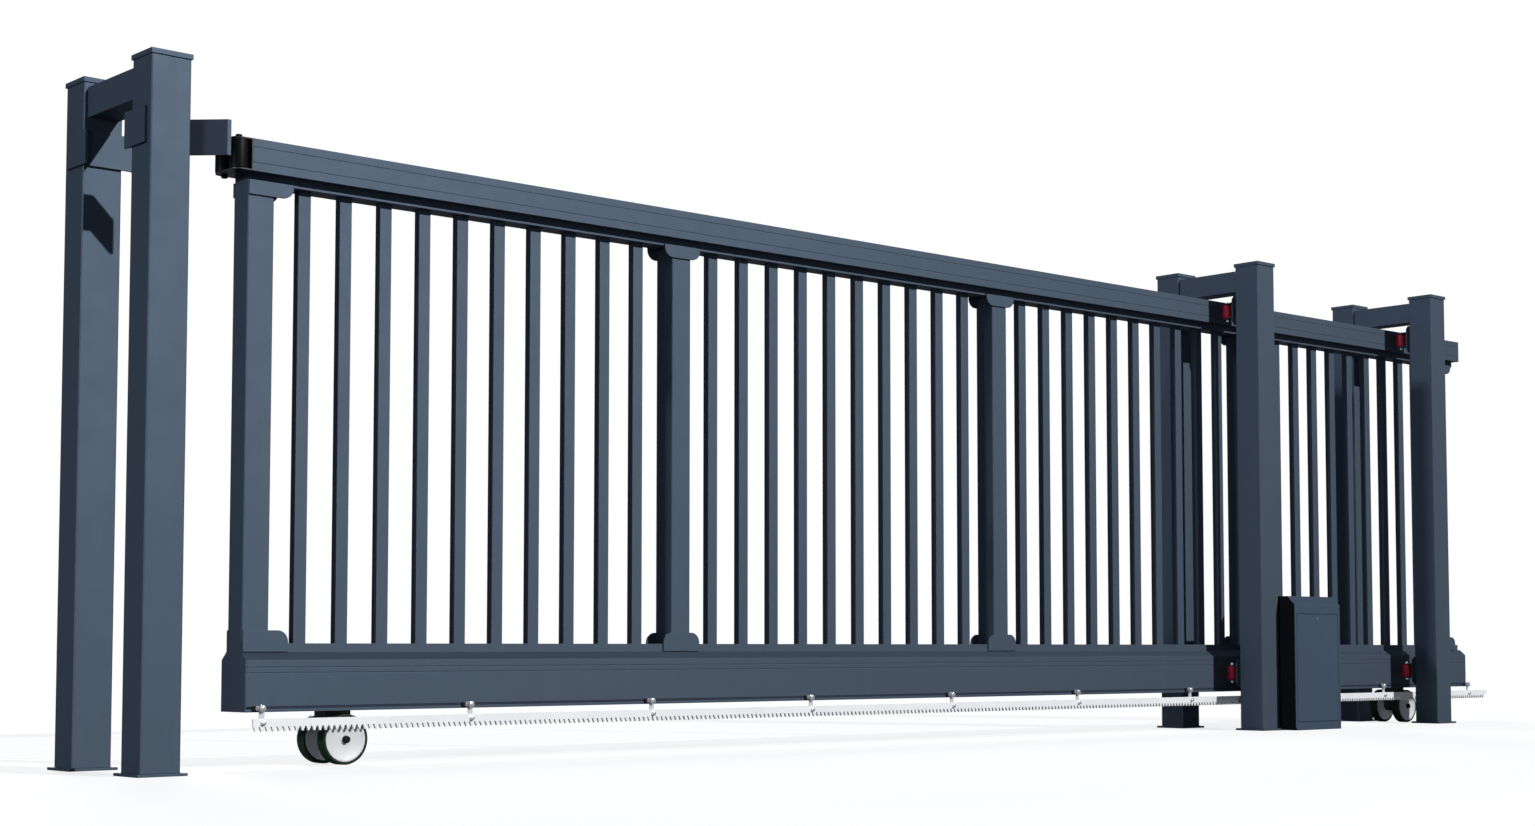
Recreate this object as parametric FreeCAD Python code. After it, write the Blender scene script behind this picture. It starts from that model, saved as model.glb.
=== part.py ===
import FreeCAD, Part

import math
import os

from FreeCAD import Vector

# Sliding driveway gate, in millimetres.
# +X runs along the leaf towards its open position, -Y faces the drive side, +Z is up.
# The origin is the middle of the underside of the middle front post's base plate.

# Portal posts, caps, base plates and crossbeams
POST_SIZE = 116.0
POST_WALL = 4.0
POST_CORNER = 3.0
POST_HEIGHT = 1958.5
BASE_THICKNESS = 8.0
BASE_OVERHANG = 14.0
CAP_HEIGHT = 14.0
CAP_OVERHANG = 3.5
CAP_SKIRT = 20.0
CAP_FIT = 0.5
PORTAL_SPREAD = 420.0
LEFT_PORTAL_X = -4973.0
RIGHT_PORTAL_X = 1324.5
CROSSBEAM_WIDTH = 90.0
CROSSBEAM_HEIGHT = 88.0
CROSSBEAM_WALL = 3.0
POST_ABOVE_CROSSBEAM = 14.0

# Left end of the closed leaf, which stands midway between the front and rear posts
LEAF_X = -4617.0

# Bottom beam, a stepped extrusion with a T-slot low on each side
BEAM_LENGTH = 6445.0
BEAM_DEPTH = 142.5
BEAM_UNDERSIDE = 160.5
BEAM_SIDE_HEIGHT = 149.5
BEAM_SHOULDER_HEIGHT = 24.0
BEAM_FLANGE_HEIGHT = 24.5
BEAM_FLANGE_SETBACK = 17.0
BEAM_WALL = 3.5
SLOT_ABOVE_UNDERSIDE = 12.5
SLOT_MOUTH = 7.0
SLOT_LIP = 3.0
SLOT_CHAMBER_HEIGHT = 13.0
SLOT_CHAMBER_DEPTH = 7.0
BEAM_GROOVE_DROPS = (21.0, 37.0)
GROOVE_WIDTH = 2.4
GROOVE_DEPTH = 1.2
END_CAP_THICKNESS = 3.0

# Top rail with the narrower strip that holds the bars
RAIL_LENGTH = 6437.0
RAIL_DEPTH = 138.0
RAIL_CLEARANCE = 35.5
RAIL_HEIGHT = 95.0
RAIL_WALL = 3.0
RAIL_GROOVE_DROPS = (25.0, 70.0)
STRIP_DEPTH = 75.0
STRIP_HEIGHT = 26.0
STRIP_SETBACK = 10.0

# Leaf posts and bars
LEAF_POST_DEPTH = 85.5
LEAF_POST_WIDTH = 79.5
LEAD_POST_WIDTH = 83.5
LEAF_POST_WALL = 3.0
LEAF_POST_CORNER = 2.5
BAY_PITCH = 1583.0
FIRST_BAY_PITCH = 1580.5
LAST_BAY_PITCH = 1536.0
BARS_PER_BAY = 10
BAR_WIDTH = 40.5
BAR_DEPTH = 26.0
BAR_WALL = 1.8
BAR_PITCH = 139.5

# Gusset plates on the front and rear faces of every leaf post
GUSSET_THICKNESS = 6.0
GUSSET_REACH = 36.5
LEAD_GUSSET_REACH = 61.0
FOOT_GUSSET_RISE = 37.5
HEAD_GUSSET_DROP = 37.5
HEAD_GUSSET_LAP = 5.0
GUSSET_CORNER = 34.0

# Toothed rack under the beam's front edge, teeth down
RACK_MODULE = 6.0
RACK_START = 17.5
RACK_LENGTH = 6597.0
RACK_THICKNESS = 8.0
RACK_BELOW_BEAM = 19.0
RACK_HEIGHT = 36.0
RACK_PRESSURE_ANGLE = 20.0
LUG_THICKNESS = 3.0
LUG_WIDTH = 17.0
LUG_START = 49.0
LUG_PITCH = 712.0
LUG_COUNT = 10
LUG_LAP_ON_BEAM = 18.0
LUG_LAP_ON_RACK = 27.0
LUG_CORNER = 4.0

# Twin-wheel trucks under the beam
WHEEL_DIAMETER = 150.0
WHEEL_SIDES = 48
WHEEL_WIDTH = 38.0
WHEEL_GAP = 80.0
WHEEL_GROUND_GAP = 0.3
TRUCK_Y = 10.0
LEFT_TRUCK_X = 328.0
RIGHT_TRUCK_X = 5948.0
TRUCK_BLOCK_WIDTH = 86.0
TRUCK_BLOCK_HEIGHT = 18.0
TRUCK_PLATE_WIDTH = 122.0
TRUCK_PLATE_THICKNESS = 8.0
TRUCK_DEPTH = 62.0
TRUCK_CARRIER_WIDTH = 74.0
TRUCK_FOOT_WIDTH = 44.0
AXLE_DIAMETER = 19.0
AXLE_PROUD = 9.0
RUNNING_FIT = 0.05

# Red guide rollers on brackets at the middle and right portals
ROLLER_SIDES = 32
GUIDE_ROLLER_DIAMETER = 44.0
GUIDE_ROLLER_HEIGHT = 57.0
GUIDE_ROLLER_GAP = 5.0
GUIDE_ROLLER_SET_IN = 19.0
GUIDE_PIN_DIAMETER = 12.0
GUIDE_ROLLER_PLAY = 0.5
TOP_ROLLER_ABOVE_RAIL_UNDERSIDE = 21.0
BOTTOM_ROLLER_ABOVE_BEAM_UNDERSIDE = 51.0
BRACKET_THICKNESS = 4.0
BRACKET_WEB_OVERHANG = 21.0
BRACKET_WEB_LENGTH = 112.0
BRACKET_WEB_HEIGHT = 124.0
BRACKET_WEB_CORNER = 16.0
BRACKET_EAR_HALF_WIDTH = 17.0

# Leading bracket and its two black rollers
LEAD_PLATE_THICKNESS = 4.0
LEAD_SHELF_THICKNESS = 4.0
LEAD_SHELF_REACH = 54.0
LEAD_SHELF_CORNER = 27.0
LEAD_ROLLER_DIAMETER = 54.0
LEAD_ROLLER_SPREAD = 84.0
LEAD_ROLLER_REACH = 28.5
LEAD_ROLLER_PLAY = 1.0
LEAD_PIN_DIAMETER = 12.0

# Catch plates on the left portal
CATCH_THICKNESS = 8.0
CATCH_BELOW_RAIL = 9.5
CATCH_HEIGHT = 100.0
CATCH_STRAP_INSET = 24.0
CATCH_STRAP_OVERRUN = 29.0
CATCH_LEG_OVERRUN = 26.0
CATCH_FLARE_LENGTH = 135.0
CATCH_FLARE_ANGLE = 45.0

# Drive cabinet beside the middle front post
CABINET_GAP = 10.0
CABINET_WIDTH = 326.0
CABINET_DEPTH = 190.0
CABINET_HEIGHT = 562.0
CABINET_SLOPE = 36.0
CABINET_WALL = 3.0
PLINTH_HEIGHT = 10.0
PLINTH_INSET = 12.0
PANEL_MARGIN = 14.0
PANEL_SILL = 34.0
PANEL_HEIGHT = 454.0
PANEL_THICKNESS = 3.0
PANEL_GAP = 1.5

# Worked out from the driving dimensions
HALF_POST = POST_SIZE / 2
FRONT_POST_Y = 0.0
REAR_POST_Y = PORTAL_SPREAD
LEAF_Y = (FRONT_POST_Y + REAR_POST_Y) / 2
INNER_FRONT_Y = FRONT_POST_Y + HALF_POST
INNER_REAR_Y = REAR_POST_Y - HALF_POST
BEAM_SHOULDER_Z = BEAM_UNDERSIDE + BEAM_SIDE_HEIGHT
BEAM_NECK_Z = BEAM_SHOULDER_Z + BEAM_SHOULDER_HEIGHT
BEAM_TOP = BEAM_NECK_Z + BEAM_FLANGE_HEIGHT
CROSSBEAM_UNDERSIDE = POST_HEIGHT - POST_ABOVE_CROSSBEAM - CROSSBEAM_HEIGHT
RAIL_TOP = CROSSBEAM_UNDERSIDE - RAIL_CLEARANCE
RAIL_UNDERSIDE = RAIL_TOP - RAIL_HEIGHT
STRIP_UNDERSIDE = RAIL_UNDERSIDE - STRIP_HEIGHT
TOP_ROLLER_UNDERSIDE = RAIL_UNDERSIDE + TOP_ROLLER_ABOVE_RAIL_UNDERSIDE
BOTTOM_ROLLER_UNDERSIDE = BEAM_UNDERSIDE + BOTTOM_ROLLER_ABOVE_BEAM_UNDERSIDE
CATCH_UNDERSIDE = RAIL_UNDERSIDE - CATCH_BELOW_RAIL
RACK_TOP = BEAM_UNDERSIDE - RACK_BELOW_BEAM
FRONT_OF_BEAM = LEAF_Y - BEAM_DEPTH / 2
AXLE_Z = WHEEL_DIAMETER / 2 + WHEEL_GROUND_GAP
RACK_TOOTH_HEIGHT = 2.25 * RACK_MODULE
LEAF_POST_X = [LEAF_X]
for bay_pitch in (FIRST_BAY_PITCH, BAY_PITCH, BAY_PITCH, LAST_BAY_PITCH):
    LEAF_POST_X.append(LEAF_POST_X[-1] + bay_pitch)


def save(name, shape):
    os.makedirs("parts", exist_ok=True)
    shape.exportStep(os.path.join("parts", name + ".step"))


def block(x_range, y_range, z_range):
    size = [high - low for low, high in (x_range, y_range, z_range)]
    return Part.makeBox(*size, Vector(x_range[0], y_range[0], z_range[0]))


def extrude_outline(points, direction):
    """Extrude a closed outline, given by its corner points."""
    corners = [Vector(*point) for point in points]
    return Part.Face(Part.makePolygon(corners + corners[:1])).extrude(Vector(*direction))


def extruded_along_x(outline, start, length):
    """Extrude a closed (y, z) outline along X."""
    return extrude_outline([(start, y, z) for y, z in outline], (length, 0, 0))


def both_halves(half_outline):
    """A (y, z) outline about the leaf's centre plane, from the half on its +Y side."""
    right = [(LEAF_Y + y, z) for y, z in half_outline]
    left = [(LEAF_Y - y, z) for y, z in reversed(half_outline)]
    return right + left


def many_sided(centre, diameter, sides, direction):
    """A prism with many sides, whose corners lie on the diameter."""
    axis = Vector(*direction)
    across = axis.cross(Vector(1, 0, 0))
    across.normalize()
    across.multiply(diameter / 2)
    corners = []
    for number in range(sides):
        turn = FreeCAD.Rotation(axis, 360.0 * number / sides)
        corners.append(Vector(*centre).add(turn.multVec(across)))
    return Part.Face(Part.makePolygon(corners + corners[:1])).extrude(axis)


def upright_pin(x, y, diameter, z_low, z_high):
    return Part.makeCylinder(diameter / 2, z_high - z_low, Vector(x, y, z_low))


def cross_pin(x, y_low, y_high, z, diameter):
    return Part.makeCylinder(diameter / 2, y_high - y_low, Vector(x, y_low, z), Vector(0, 1, 0))


def upright_tube(x_range, y_range, z_range, wall, corner):
    """A rectangular tube with broken outer corners."""
    outer = block(x_range, y_range, z_range)
    uprights = [edge for edge in outer.Edges if abs(edge.tangentAt(edge.FirstParameter).z) > 0.5]
    outer = outer.makeChamfer(corner, uprights)
    inner = [(low + wall, high - wall) for low, high in (x_range, y_range)]
    return outer.cut(block(inner[0], inner[1], z_range))


def spread(middle, size):
    return (middle - size / 2, middle + size / 2)


def base_plate(x, y):
    """The square plate that a post is welded to."""
    size = POST_SIZE + 2 * BASE_OVERHANG
    return block(spread(x, size), spread(y, size), (0, BASE_THICKNESS))


def portal_post(x, y):
    z_range = (BASE_THICKNESS, POST_HEIGHT)
    return upright_tube(spread(x, POST_SIZE), spread(y, POST_SIZE), z_range, POST_WALL, POST_CORNER)


def post_cap(x, y):
    """A flat cap with a skirt that pushes into the post."""
    size = POST_SIZE + 2 * CAP_OVERHANG
    plate = block(spread(x, size), spread(y, size), (POST_HEIGHT, POST_HEIGHT + CAP_HEIGHT))
    plug = POST_SIZE - 2 * POST_WALL - 2 * CAP_FIT
    skirt = block(spread(x, plug), spread(y, plug), (POST_HEIGHT - CAP_SKIRT, POST_HEIGHT))
    core = plug - 2 * POST_WALL
    hollow = block(spread(x, core), spread(y, core), (POST_HEIGHT - CAP_SKIRT, POST_HEIGHT))
    return plate.fuse(skirt.cut(hollow)).removeSplitter()


def crossbeam(x):
    """The square tube that joins a portal's two posts over the leaf."""
    y_range = (INNER_FRONT_Y, INNER_REAR_Y)
    z_range = (CROSSBEAM_UNDERSIDE, CROSSBEAM_UNDERSIDE + CROSSBEAM_HEIGHT)
    tube = block(spread(x, CROSSBEAM_WIDTH), y_range, z_range)
    inner_width = CROSSBEAM_WIDTH - 2 * CROSSBEAM_WALL
    inner_z = (z_range[0] + CROSSBEAM_WALL, z_range[1] - CROSSBEAM_WALL)
    return tube.cut(block(spread(x, inner_width), y_range, inner_z))


def build_portals():
    bases = []
    caps = []
    portals = (("left", LEFT_PORTAL_X), ("middle", 0.0), ("right", RIGHT_PORTAL_X))
    for name, x in portals:
        for side, y in (("front", FRONT_POST_Y), ("rear", REAR_POST_Y)):
            save(f"{name}_{side}_post", portal_post(x, y))
            bases.append(base_plate(x, y))
            caps.append(post_cap(x, y))
        save(f"{name}_crossbeam", crossbeam(x))
    save("base_plates", Part.makeCompound(bases))
    save("post_caps", Part.makeCompound(caps))


def side_step(outline_y, z, width, depth):
    """Corner points of a square-edged groove in a side face, from its lower edge to its upper."""
    return [
        (outline_y, z - width / 2),
        (outline_y - depth, z - width / 2),
        (outline_y - depth, z + width / 2),
        (outline_y, z + width / 2),
    ]


def beam_half_outline():
    half = BEAM_DEPTH / 2
    slot_z = BEAM_UNDERSIDE + SLOT_ABOVE_UNDERSIDE
    mouth = (slot_z - SLOT_MOUTH / 2, slot_z + SLOT_MOUTH / 2)
    chamber = (slot_z - SLOT_CHAMBER_HEIGHT / 2, slot_z + SLOT_CHAMBER_HEIGHT / 2)
    lip = half - SLOT_LIP
    back = lip - SLOT_CHAMBER_DEPTH
    points = [(half, BEAM_UNDERSIDE), (half, mouth[0]), (lip, mouth[0]), (lip, chamber[0])]
    points += [(back, chamber[0]), (back, chamber[1]), (lip, chamber[1]), (lip, mouth[1]), (half, mouth[1])]
    for drop in reversed(BEAM_GROOVE_DROPS):
        points += side_step(half, BEAM_SHOULDER_Z - drop, GROOVE_WIDTH, GROOVE_DEPTH)
    points += [(half, BEAM_SHOULDER_Z), (LEAF_POST_DEPTH / 2, BEAM_NECK_Z), (LEAF_POST_DEPTH / 2, BEAM_TOP)]
    return points


def beam_chambers():
    """The beam's two hollows, each as half an outline: one between the slots and one above them."""
    slot_top = BEAM_UNDERSIDE + SLOT_ABOVE_UNDERSIDE + SLOT_CHAMBER_HEIGHT / 2
    low_half = BEAM_DEPTH / 2 - SLOT_LIP - SLOT_CHAMBER_DEPTH - BEAM_WALL
    low = [(low_half, BEAM_UNDERSIDE + BEAM_WALL), (low_half, slot_top)]
    half = BEAM_DEPTH / 2 - BEAM_WALL
    neck = LEAF_POST_DEPTH / 2 - BEAM_WALL
    high = [
        (half, slot_top + BEAM_WALL),
        (half, BEAM_SHOULDER_Z - BEAM_WALL / 2),
        (neck, BEAM_NECK_Z - BEAM_WALL / 2),
        (neck, BEAM_TOP - BEAM_WALL),
    ]
    return low, high


def bottom_beam():
    beam = extruded_along_x(both_halves(beam_half_outline()), LEAF_X, BEAM_LENGTH)
    for chamber in beam_chambers():
        beam = beam.cut(extruded_along_x(both_halves(chamber), LEAF_X, BEAM_LENGTH))
    end = LEAF_X + BEAM_LENGTH
    notch = block(
        (end - BEAM_FLANGE_SETBACK, end),
        spread(LEAF_Y, BEAM_DEPTH),
        (BEAM_NECK_Z, BEAM_TOP),
    )
    return beam.cut(notch)


def beam_end_caps():
    """Flat plates that close the beam's ends."""
    half = [
        (BEAM_DEPTH / 2, BEAM_UNDERSIDE),
        (BEAM_DEPTH / 2, BEAM_SHOULDER_Z),
        (LEAF_POST_DEPTH / 2, BEAM_NECK_Z),
    ]
    left_half = half + [(LEAF_POST_DEPTH / 2, BEAM_TOP)]
    left = extruded_along_x(both_halves(left_half), LEAF_X - END_CAP_THICKNESS, END_CAP_THICKNESS)
    right = extruded_along_x(both_halves(half), LEAF_X + BEAM_LENGTH, END_CAP_THICKNESS)
    return Part.makeCompound([left, right])


def top_rail():
    half = RAIL_DEPTH / 2
    outline = [(STRIP_DEPTH / 2, STRIP_UNDERSIDE), (STRIP_DEPTH / 2, RAIL_UNDERSIDE), (half, RAIL_UNDERSIDE)]
    for drop in reversed(RAIL_GROOVE_DROPS):
        outline += side_step(half, RAIL_TOP - drop, GROOVE_WIDTH, GROOVE_DEPTH)
    outline.append((half, RAIL_TOP))
    rail = extruded_along_x(both_halves(outline), LEAF_X, RAIL_LENGTH)
    chamber = [(half - RAIL_WALL, RAIL_UNDERSIDE + RAIL_WALL), (half - RAIL_WALL, RAIL_TOP - RAIL_WALL)]
    strip_half = STRIP_DEPTH / 2 - RAIL_WALL
    strip_chamber = [(strip_half, STRIP_UNDERSIDE + RAIL_WALL), (strip_half, RAIL_UNDERSIDE)]
    for hollow in (chamber, strip_chamber):
        rail = rail.cut(extruded_along_x(both_halves(hollow), LEAF_X, RAIL_LENGTH))
    end = LEAF_X + RAIL_LENGTH
    notch = block((end - STRIP_SETBACK, end), spread(LEAF_Y, STRIP_DEPTH), (STRIP_UNDERSIDE, RAIL_UNDERSIDE))
    return rail.cut(notch)


def rail_end_cap():
    end = LEAF_X + RAIL_LENGTH
    return block((end, end + END_CAP_THICKNESS), spread(LEAF_Y, RAIL_DEPTH), (RAIL_UNDERSIDE, RAIL_TOP))


def leaf_post_width(index):
    return LEAD_POST_WIDTH if index == 0 else LEAF_POST_WIDTH


def leaf_post(index):
    start = LEAF_POST_X[index]
    return upright_tube(
        (start, start + leaf_post_width(index)),
        spread(LEAF_Y, LEAF_POST_DEPTH),
        (BEAM_TOP, STRIP_UNDERSIDE),
        LEAF_POST_WALL,
        LEAF_POST_CORNER,
    )


def first_bar_x(bay):
    """Left face of a bay's first bar: the bars are set out evenly, from the right in the last bay."""
    run = (BARS_PER_BAY - 1) * BAR_PITCH + BAR_WIDTH
    side_gap = (BAY_PITCH - LEAF_POST_WIDTH - run) / 2
    return LEAF_POST_X[bay + 1] - side_gap - run


def bar(x):
    """One rectangular tube between the beam and the strip under the rail."""
    z_range = (BEAM_TOP, STRIP_UNDERSIDE)
    outer = block((x, x + BAR_WIDTH), spread(LEAF_Y, BAR_DEPTH), z_range)
    inner_depth = BAR_DEPTH - 2 * BAR_WALL
    inner = block((x + BAR_WALL, x + BAR_WIDTH - BAR_WALL), spread(LEAF_Y, inner_depth), z_range)
    return outer.cut(inner)


def bay_of_bars(bay):
    start = first_bar_x(bay)
    return Part.makeCompound([bar(start + BAR_PITCH * number) for number in range(BARS_PER_BAY)])


def gusset(index, front, at_foot):
    """A flat plate over the joint of a leaf post and a rail, with rounded free corners."""
    x_low = LEAF_POST_X[index]
    x_high = x_low + leaf_post_width(index)
    if index == 0:
        x_high += LEAD_GUSSET_REACH
    else:
        x_low, x_high = x_low - GUSSET_REACH, x_high + GUSSET_REACH
    if at_foot:
        z_range = (BEAM_NECK_Z, BEAM_TOP + FOOT_GUSSET_RISE)
        free_z = z_range[1]
    else:
        z_range = (STRIP_UNDERSIDE - HEAD_GUSSET_DROP, STRIP_UNDERSIDE + HEAD_GUSSET_LAP)
        free_z = z_range[0]
    face_y = LEAF_POST_DEPTH / 2
    if front:
        y_range = (LEAF_Y - face_y - GUSSET_THICKNESS, LEAF_Y - face_y)
    else:
        y_range = (LEAF_Y + face_y, LEAF_Y + face_y + GUSSET_THICKNESS)
    plate = block((x_low, x_high), y_range, z_range)
    free_x = [x_high] if index == 0 else [x_low, x_high]
    corners = []
    for edge in plate.Edges:
        middle = edge.CenterOfMass
        along_y = abs(edge.tangentAt(edge.FirstParameter).y) > 0.5
        at_free_x = min(abs(middle.x - x) for x in free_x) < 0.01
        if along_y and at_free_x and abs(middle.z - free_z) < 0.01:
            corners.append(edge)
    return plate.makeFillet(GUSSET_CORNER, corners)


def gussets(at_foot):
    plates = []
    for index in range(len(LEAF_POST_X)):
        plates += [gusset(index, True, at_foot), gusset(index, False, at_foot)]
    return Part.makeCompound(plates)


def rack():
    """A straight toothed bar, teeth down, with straight flanks at the pressure angle."""
    pitch = math.pi * RACK_MODULE
    teeth = int(RACK_LENGTH / pitch)
    front_y = FRONT_OF_BEAM - LUG_THICKNESS - RACK_THICKNESS
    tip_z = RACK_TOP - RACK_HEIGHT
    root_z = tip_z + RACK_TOOTH_HEIGHT
    flank_run = RACK_TOOTH_HEIGHT * math.tan(math.radians(RACK_PRESSURE_ANGLE))
    flat = pitch / 2 - flank_run
    start = LEAF_X + RACK_START
    points = [(start, RACK_TOP), (start, root_z)]
    for number in range(teeth):
        x = start + pitch * (number + 0.5) - flat / 2 - flank_run
        points += [(x, root_z), (x + flank_run, tip_z), (x + flank_run + flat, tip_z)]
        points.append((x + 2 * flank_run + flat, root_z))
    points += [(start + RACK_LENGTH, root_z), (start + RACK_LENGTH, RACK_TOP)]
    return extrude_outline([(x, front_y, z) for x, z in points], (0, RACK_THICKNESS, 0))


def rack_lug(number):
    """A flat strap between the rack's back and the beam's side, with clipped lower corners."""
    x = LEAF_X + LUG_START + LUG_PITCH * number
    low, high = RACK_TOP - LUG_LAP_ON_RACK, BEAM_UNDERSIDE + LUG_LAP_ON_BEAM
    half = LUG_WIDTH / 2
    outline = [(x - half, high), (x - half, low + LUG_CORNER), (x - half + LUG_CORNER, low)]
    outline += [(x + half - LUG_CORNER, low), (x + half, low + LUG_CORNER), (x + half, high)]
    back_y = FRONT_OF_BEAM - LUG_THICKNESS
    return extrude_outline([(px, back_y, pz) for px, pz in outline], (0, LUG_THICKNESS, 0))


def rack_lugs():
    return Part.makeCompound([rack_lug(number) for number in range(LUG_COUNT)])


def truck(x):
    """Block and plate under the beam, a tapered carrier, and the fixed axle of its two wheels."""
    x += LEAF_X
    y = LEAF_Y + TRUCK_Y
    y_range = spread(y, TRUCK_DEPTH)
    plate_top = BEAM_UNDERSIDE - TRUCK_BLOCK_HEIGHT
    plate_low = plate_top - TRUCK_PLATE_THICKNESS
    spacer = block(spread(x, TRUCK_BLOCK_WIDTH), y_range, (plate_top, BEAM_UNDERSIDE))
    plate = block(spread(x, TRUCK_PLATE_WIDTH), y_range, (plate_low, plate_top))
    top_half, foot_half = TRUCK_CARRIER_WIDTH / 2, TRUCK_FOOT_WIDTH / 2
    foot_z = AXLE_Z - foot_half
    clip = foot_half / 2
    outline = [(x - top_half, plate_low), (x - foot_half, AXLE_Z), (x - foot_half, foot_z + clip)]
    outline += [(x - foot_half + clip, foot_z), (x + foot_half - clip, foot_z)]
    outline += [(x + foot_half, foot_z + clip), (x + foot_half, AXLE_Z), (x + top_half, plate_low)]
    carrier = extrude_outline([(px, y_range[0], pz) for px, pz in outline], (0, TRUCK_DEPTH, 0))
    half_length = WHEEL_GAP / 2 + WHEEL_WIDTH + AXLE_PROUD
    axle = cross_pin(x, y - half_length, y + half_length, AXLE_Z, AXLE_DIAMETER)
    return spacer.fuse([plate, carrier, axle]).removeSplitter()


def wheel_y_ranges():
    y = LEAF_Y + TRUCK_Y
    near = y - WHEEL_GAP / 2
    far = y + WHEEL_GAP / 2
    return (near - WHEEL_WIDTH, near), (far, far + WHEEL_WIDTH)


def wheels(x):
    """The truck's two wheels, bored for the axle."""
    pair = []
    for y_low, y_high in wheel_y_ranges():
        centre = (LEAF_X + x, y_low, AXLE_Z)
        wheel = many_sided(centre, WHEEL_DIAMETER, WHEEL_SIDES, (0, WHEEL_WIDTH, 0))
        bore = cross_pin(LEAF_X + x, y_low, y_high, AXLE_Z, AXLE_DIAMETER + 2 * RUNNING_FIT)
        pair.append(wheel.cut(bore))
    return Part.makeCompound(pair)


def lead_bracket():
    """End plate on the top rail with two shelves that hold the leading rollers' pins."""
    plate = block(
        (LEAF_X - LEAD_PLATE_THICKNESS, LEAF_X), spread(LEAF_Y, RAIL_DEPTH), (RAIL_UNDERSIDE, RAIL_TOP)
    )
    outer_x = LEAF_X - LEAD_PLATE_THICKNESS - LEAD_SHELF_REACH
    pieces = []
    for z_low in (RAIL_UNDERSIDE, RAIL_TOP - LEAD_SHELF_THICKNESS):
        z_range = (z_low, z_low + LEAD_SHELF_THICKNESS)
        shelf = block((outer_x, LEAF_X - LEAD_PLATE_THICKNESS), spread(LEAF_Y, RAIL_DEPTH), z_range)
        corners = []
        for edge in shelf.Edges:
            upright = abs(edge.tangentAt(edge.FirstParameter).z) > 0.5
            if upright and abs(edge.CenterOfMass.x - outer_x) < 0.01:
                corners.append(edge)
        pieces.append(shelf.makeFillet(LEAD_SHELF_CORNER, corners))
    for y in spread(LEAF_Y, LEAD_ROLLER_SPREAD):
        pieces.append(upright_pin(lead_roller_x(), y, LEAD_PIN_DIAMETER, RAIL_UNDERSIDE, RAIL_TOP))
    return plate.fuse(pieces).removeSplitter()


def lead_roller_x():
    return LEAF_X - LEAD_PLATE_THICKNESS - LEAD_ROLLER_REACH


def roller(x, y, diameter, z_low, z_high, pin_diameter):
    """An upright roller with a bore that runs on its pin."""
    body = many_sided((x, y, z_low), diameter, ROLLER_SIDES, (0, 0, z_high - z_low))
    return body.cut(upright_pin(x, y, pin_diameter + 2 * RUNNING_FIT, z_low, z_high))


def lead_roller(y):
    z_low = RAIL_UNDERSIDE + LEAD_SHELF_THICKNESS + LEAD_ROLLER_PLAY
    z_high = RAIL_TOP - LEAD_SHELF_THICKNESS - LEAD_ROLLER_PLAY
    return roller(lead_roller_x(), y, LEAD_ROLLER_DIAMETER, z_low, z_high, LEAD_PIN_DIAMETER)


def build_leaf():
    save("bottom_beam", bottom_beam())
    save("beam_end_caps", beam_end_caps())
    save("top_rail", top_rail())
    save("rail_end_cap", rail_end_cap())
    for index in range(len(LEAF_POST_X)):
        save(f"leaf_post_{index + 1}", leaf_post(index))
    for bay in range(len(LEAF_POST_X) - 1):
        save(f"bars_bay_{bay + 1}", bay_of_bars(bay))
    save("foot_gussets", gussets(True))
    save("head_gussets", gussets(False))
    save("gear_rack", rack())
    save("rack_lugs", rack_lugs())
    save("wheel_trucks", Part.makeCompound([truck(LEFT_TRUCK_X), truck(RIGHT_TRUCK_X)]))
    save("left_wheels", wheels(LEFT_TRUCK_X))
    save("right_wheels", wheels(RIGHT_TRUCK_X))
    save("lead_bracket", lead_bracket())
    front_y, rear_y = spread(LEAF_Y, LEAD_ROLLER_SPREAD)
    save("lead_roller_front", lead_roller(front_y))
    save("lead_roller_rear", lead_roller(rear_y))


def guide_axis(portal_x, front, rail_depth):
    """Where a guide roller's axis stands: outside the rail's face by its radius and its gap."""
    offset = rail_depth / 2 + GUIDE_ROLLER_GAP + GUIDE_ROLLER_DIAMETER / 2
    x = portal_x - HALF_POST + GUIDE_ROLLER_SET_IN
    return (x, LEAF_Y - offset if front else LEAF_Y + offset)


def guide_roller(axis, z_low):
    z_high = z_low + GUIDE_ROLLER_HEIGHT
    return roller(*axis, GUIDE_ROLLER_DIAMETER, z_low, z_high, GUIDE_PIN_DIAMETER)


def ear_levels(roller_z):
    """Undersides of a bracket's lower and upper ear, above and below its roller."""
    low = roller_z - GUIDE_ROLLER_PLAY - BRACKET_THICKNESS
    return (low, roller_z + GUIDE_ROLLER_HEIGHT + GUIDE_ROLLER_PLAY)


def bracket_ear(axis, web_x_range, web_y, z_low):
    """A flat ear from the bracket's web to a clipped end round the pin."""
    x, y = axis
    away = 1 if y > web_y else -1
    half, tip_y = BRACKET_EAR_HALF_WIDTH, y + away * BRACKET_EAR_HALF_WIDTH
    clip = half / 2
    outline = [(web_x_range[0], web_y), (x - half, tip_y - away * clip), (x - half + clip, tip_y)]
    outline += [(x + half - clip, tip_y), (x + half, tip_y - away * clip), (web_x_range[1], web_y)]
    return extrude_outline([(px, py, z_low) for px, py in outline], (0, 0, BRACKET_THICKNESS))


def bracket_web(x_low, post_y, outward, middle_z):
    """The upright plate on the post's inner face, with clipped corners."""
    x_high = x_low + BRACKET_WEB_LENGTH
    low, high = spread(middle_z, BRACKET_WEB_HEIGHT)
    clip = BRACKET_WEB_CORNER
    outline = [(x_low, low + clip), (x_low + clip, low), (x_high - clip, low), (x_high, low + clip)]
    outline += [(x_high, high - clip), (x_high - clip, high), (x_low + clip, high), (x_low, high - clip)]
    return extrude_outline([(x, post_y, z) for x, z in outline], (0, outward, 0))


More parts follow.
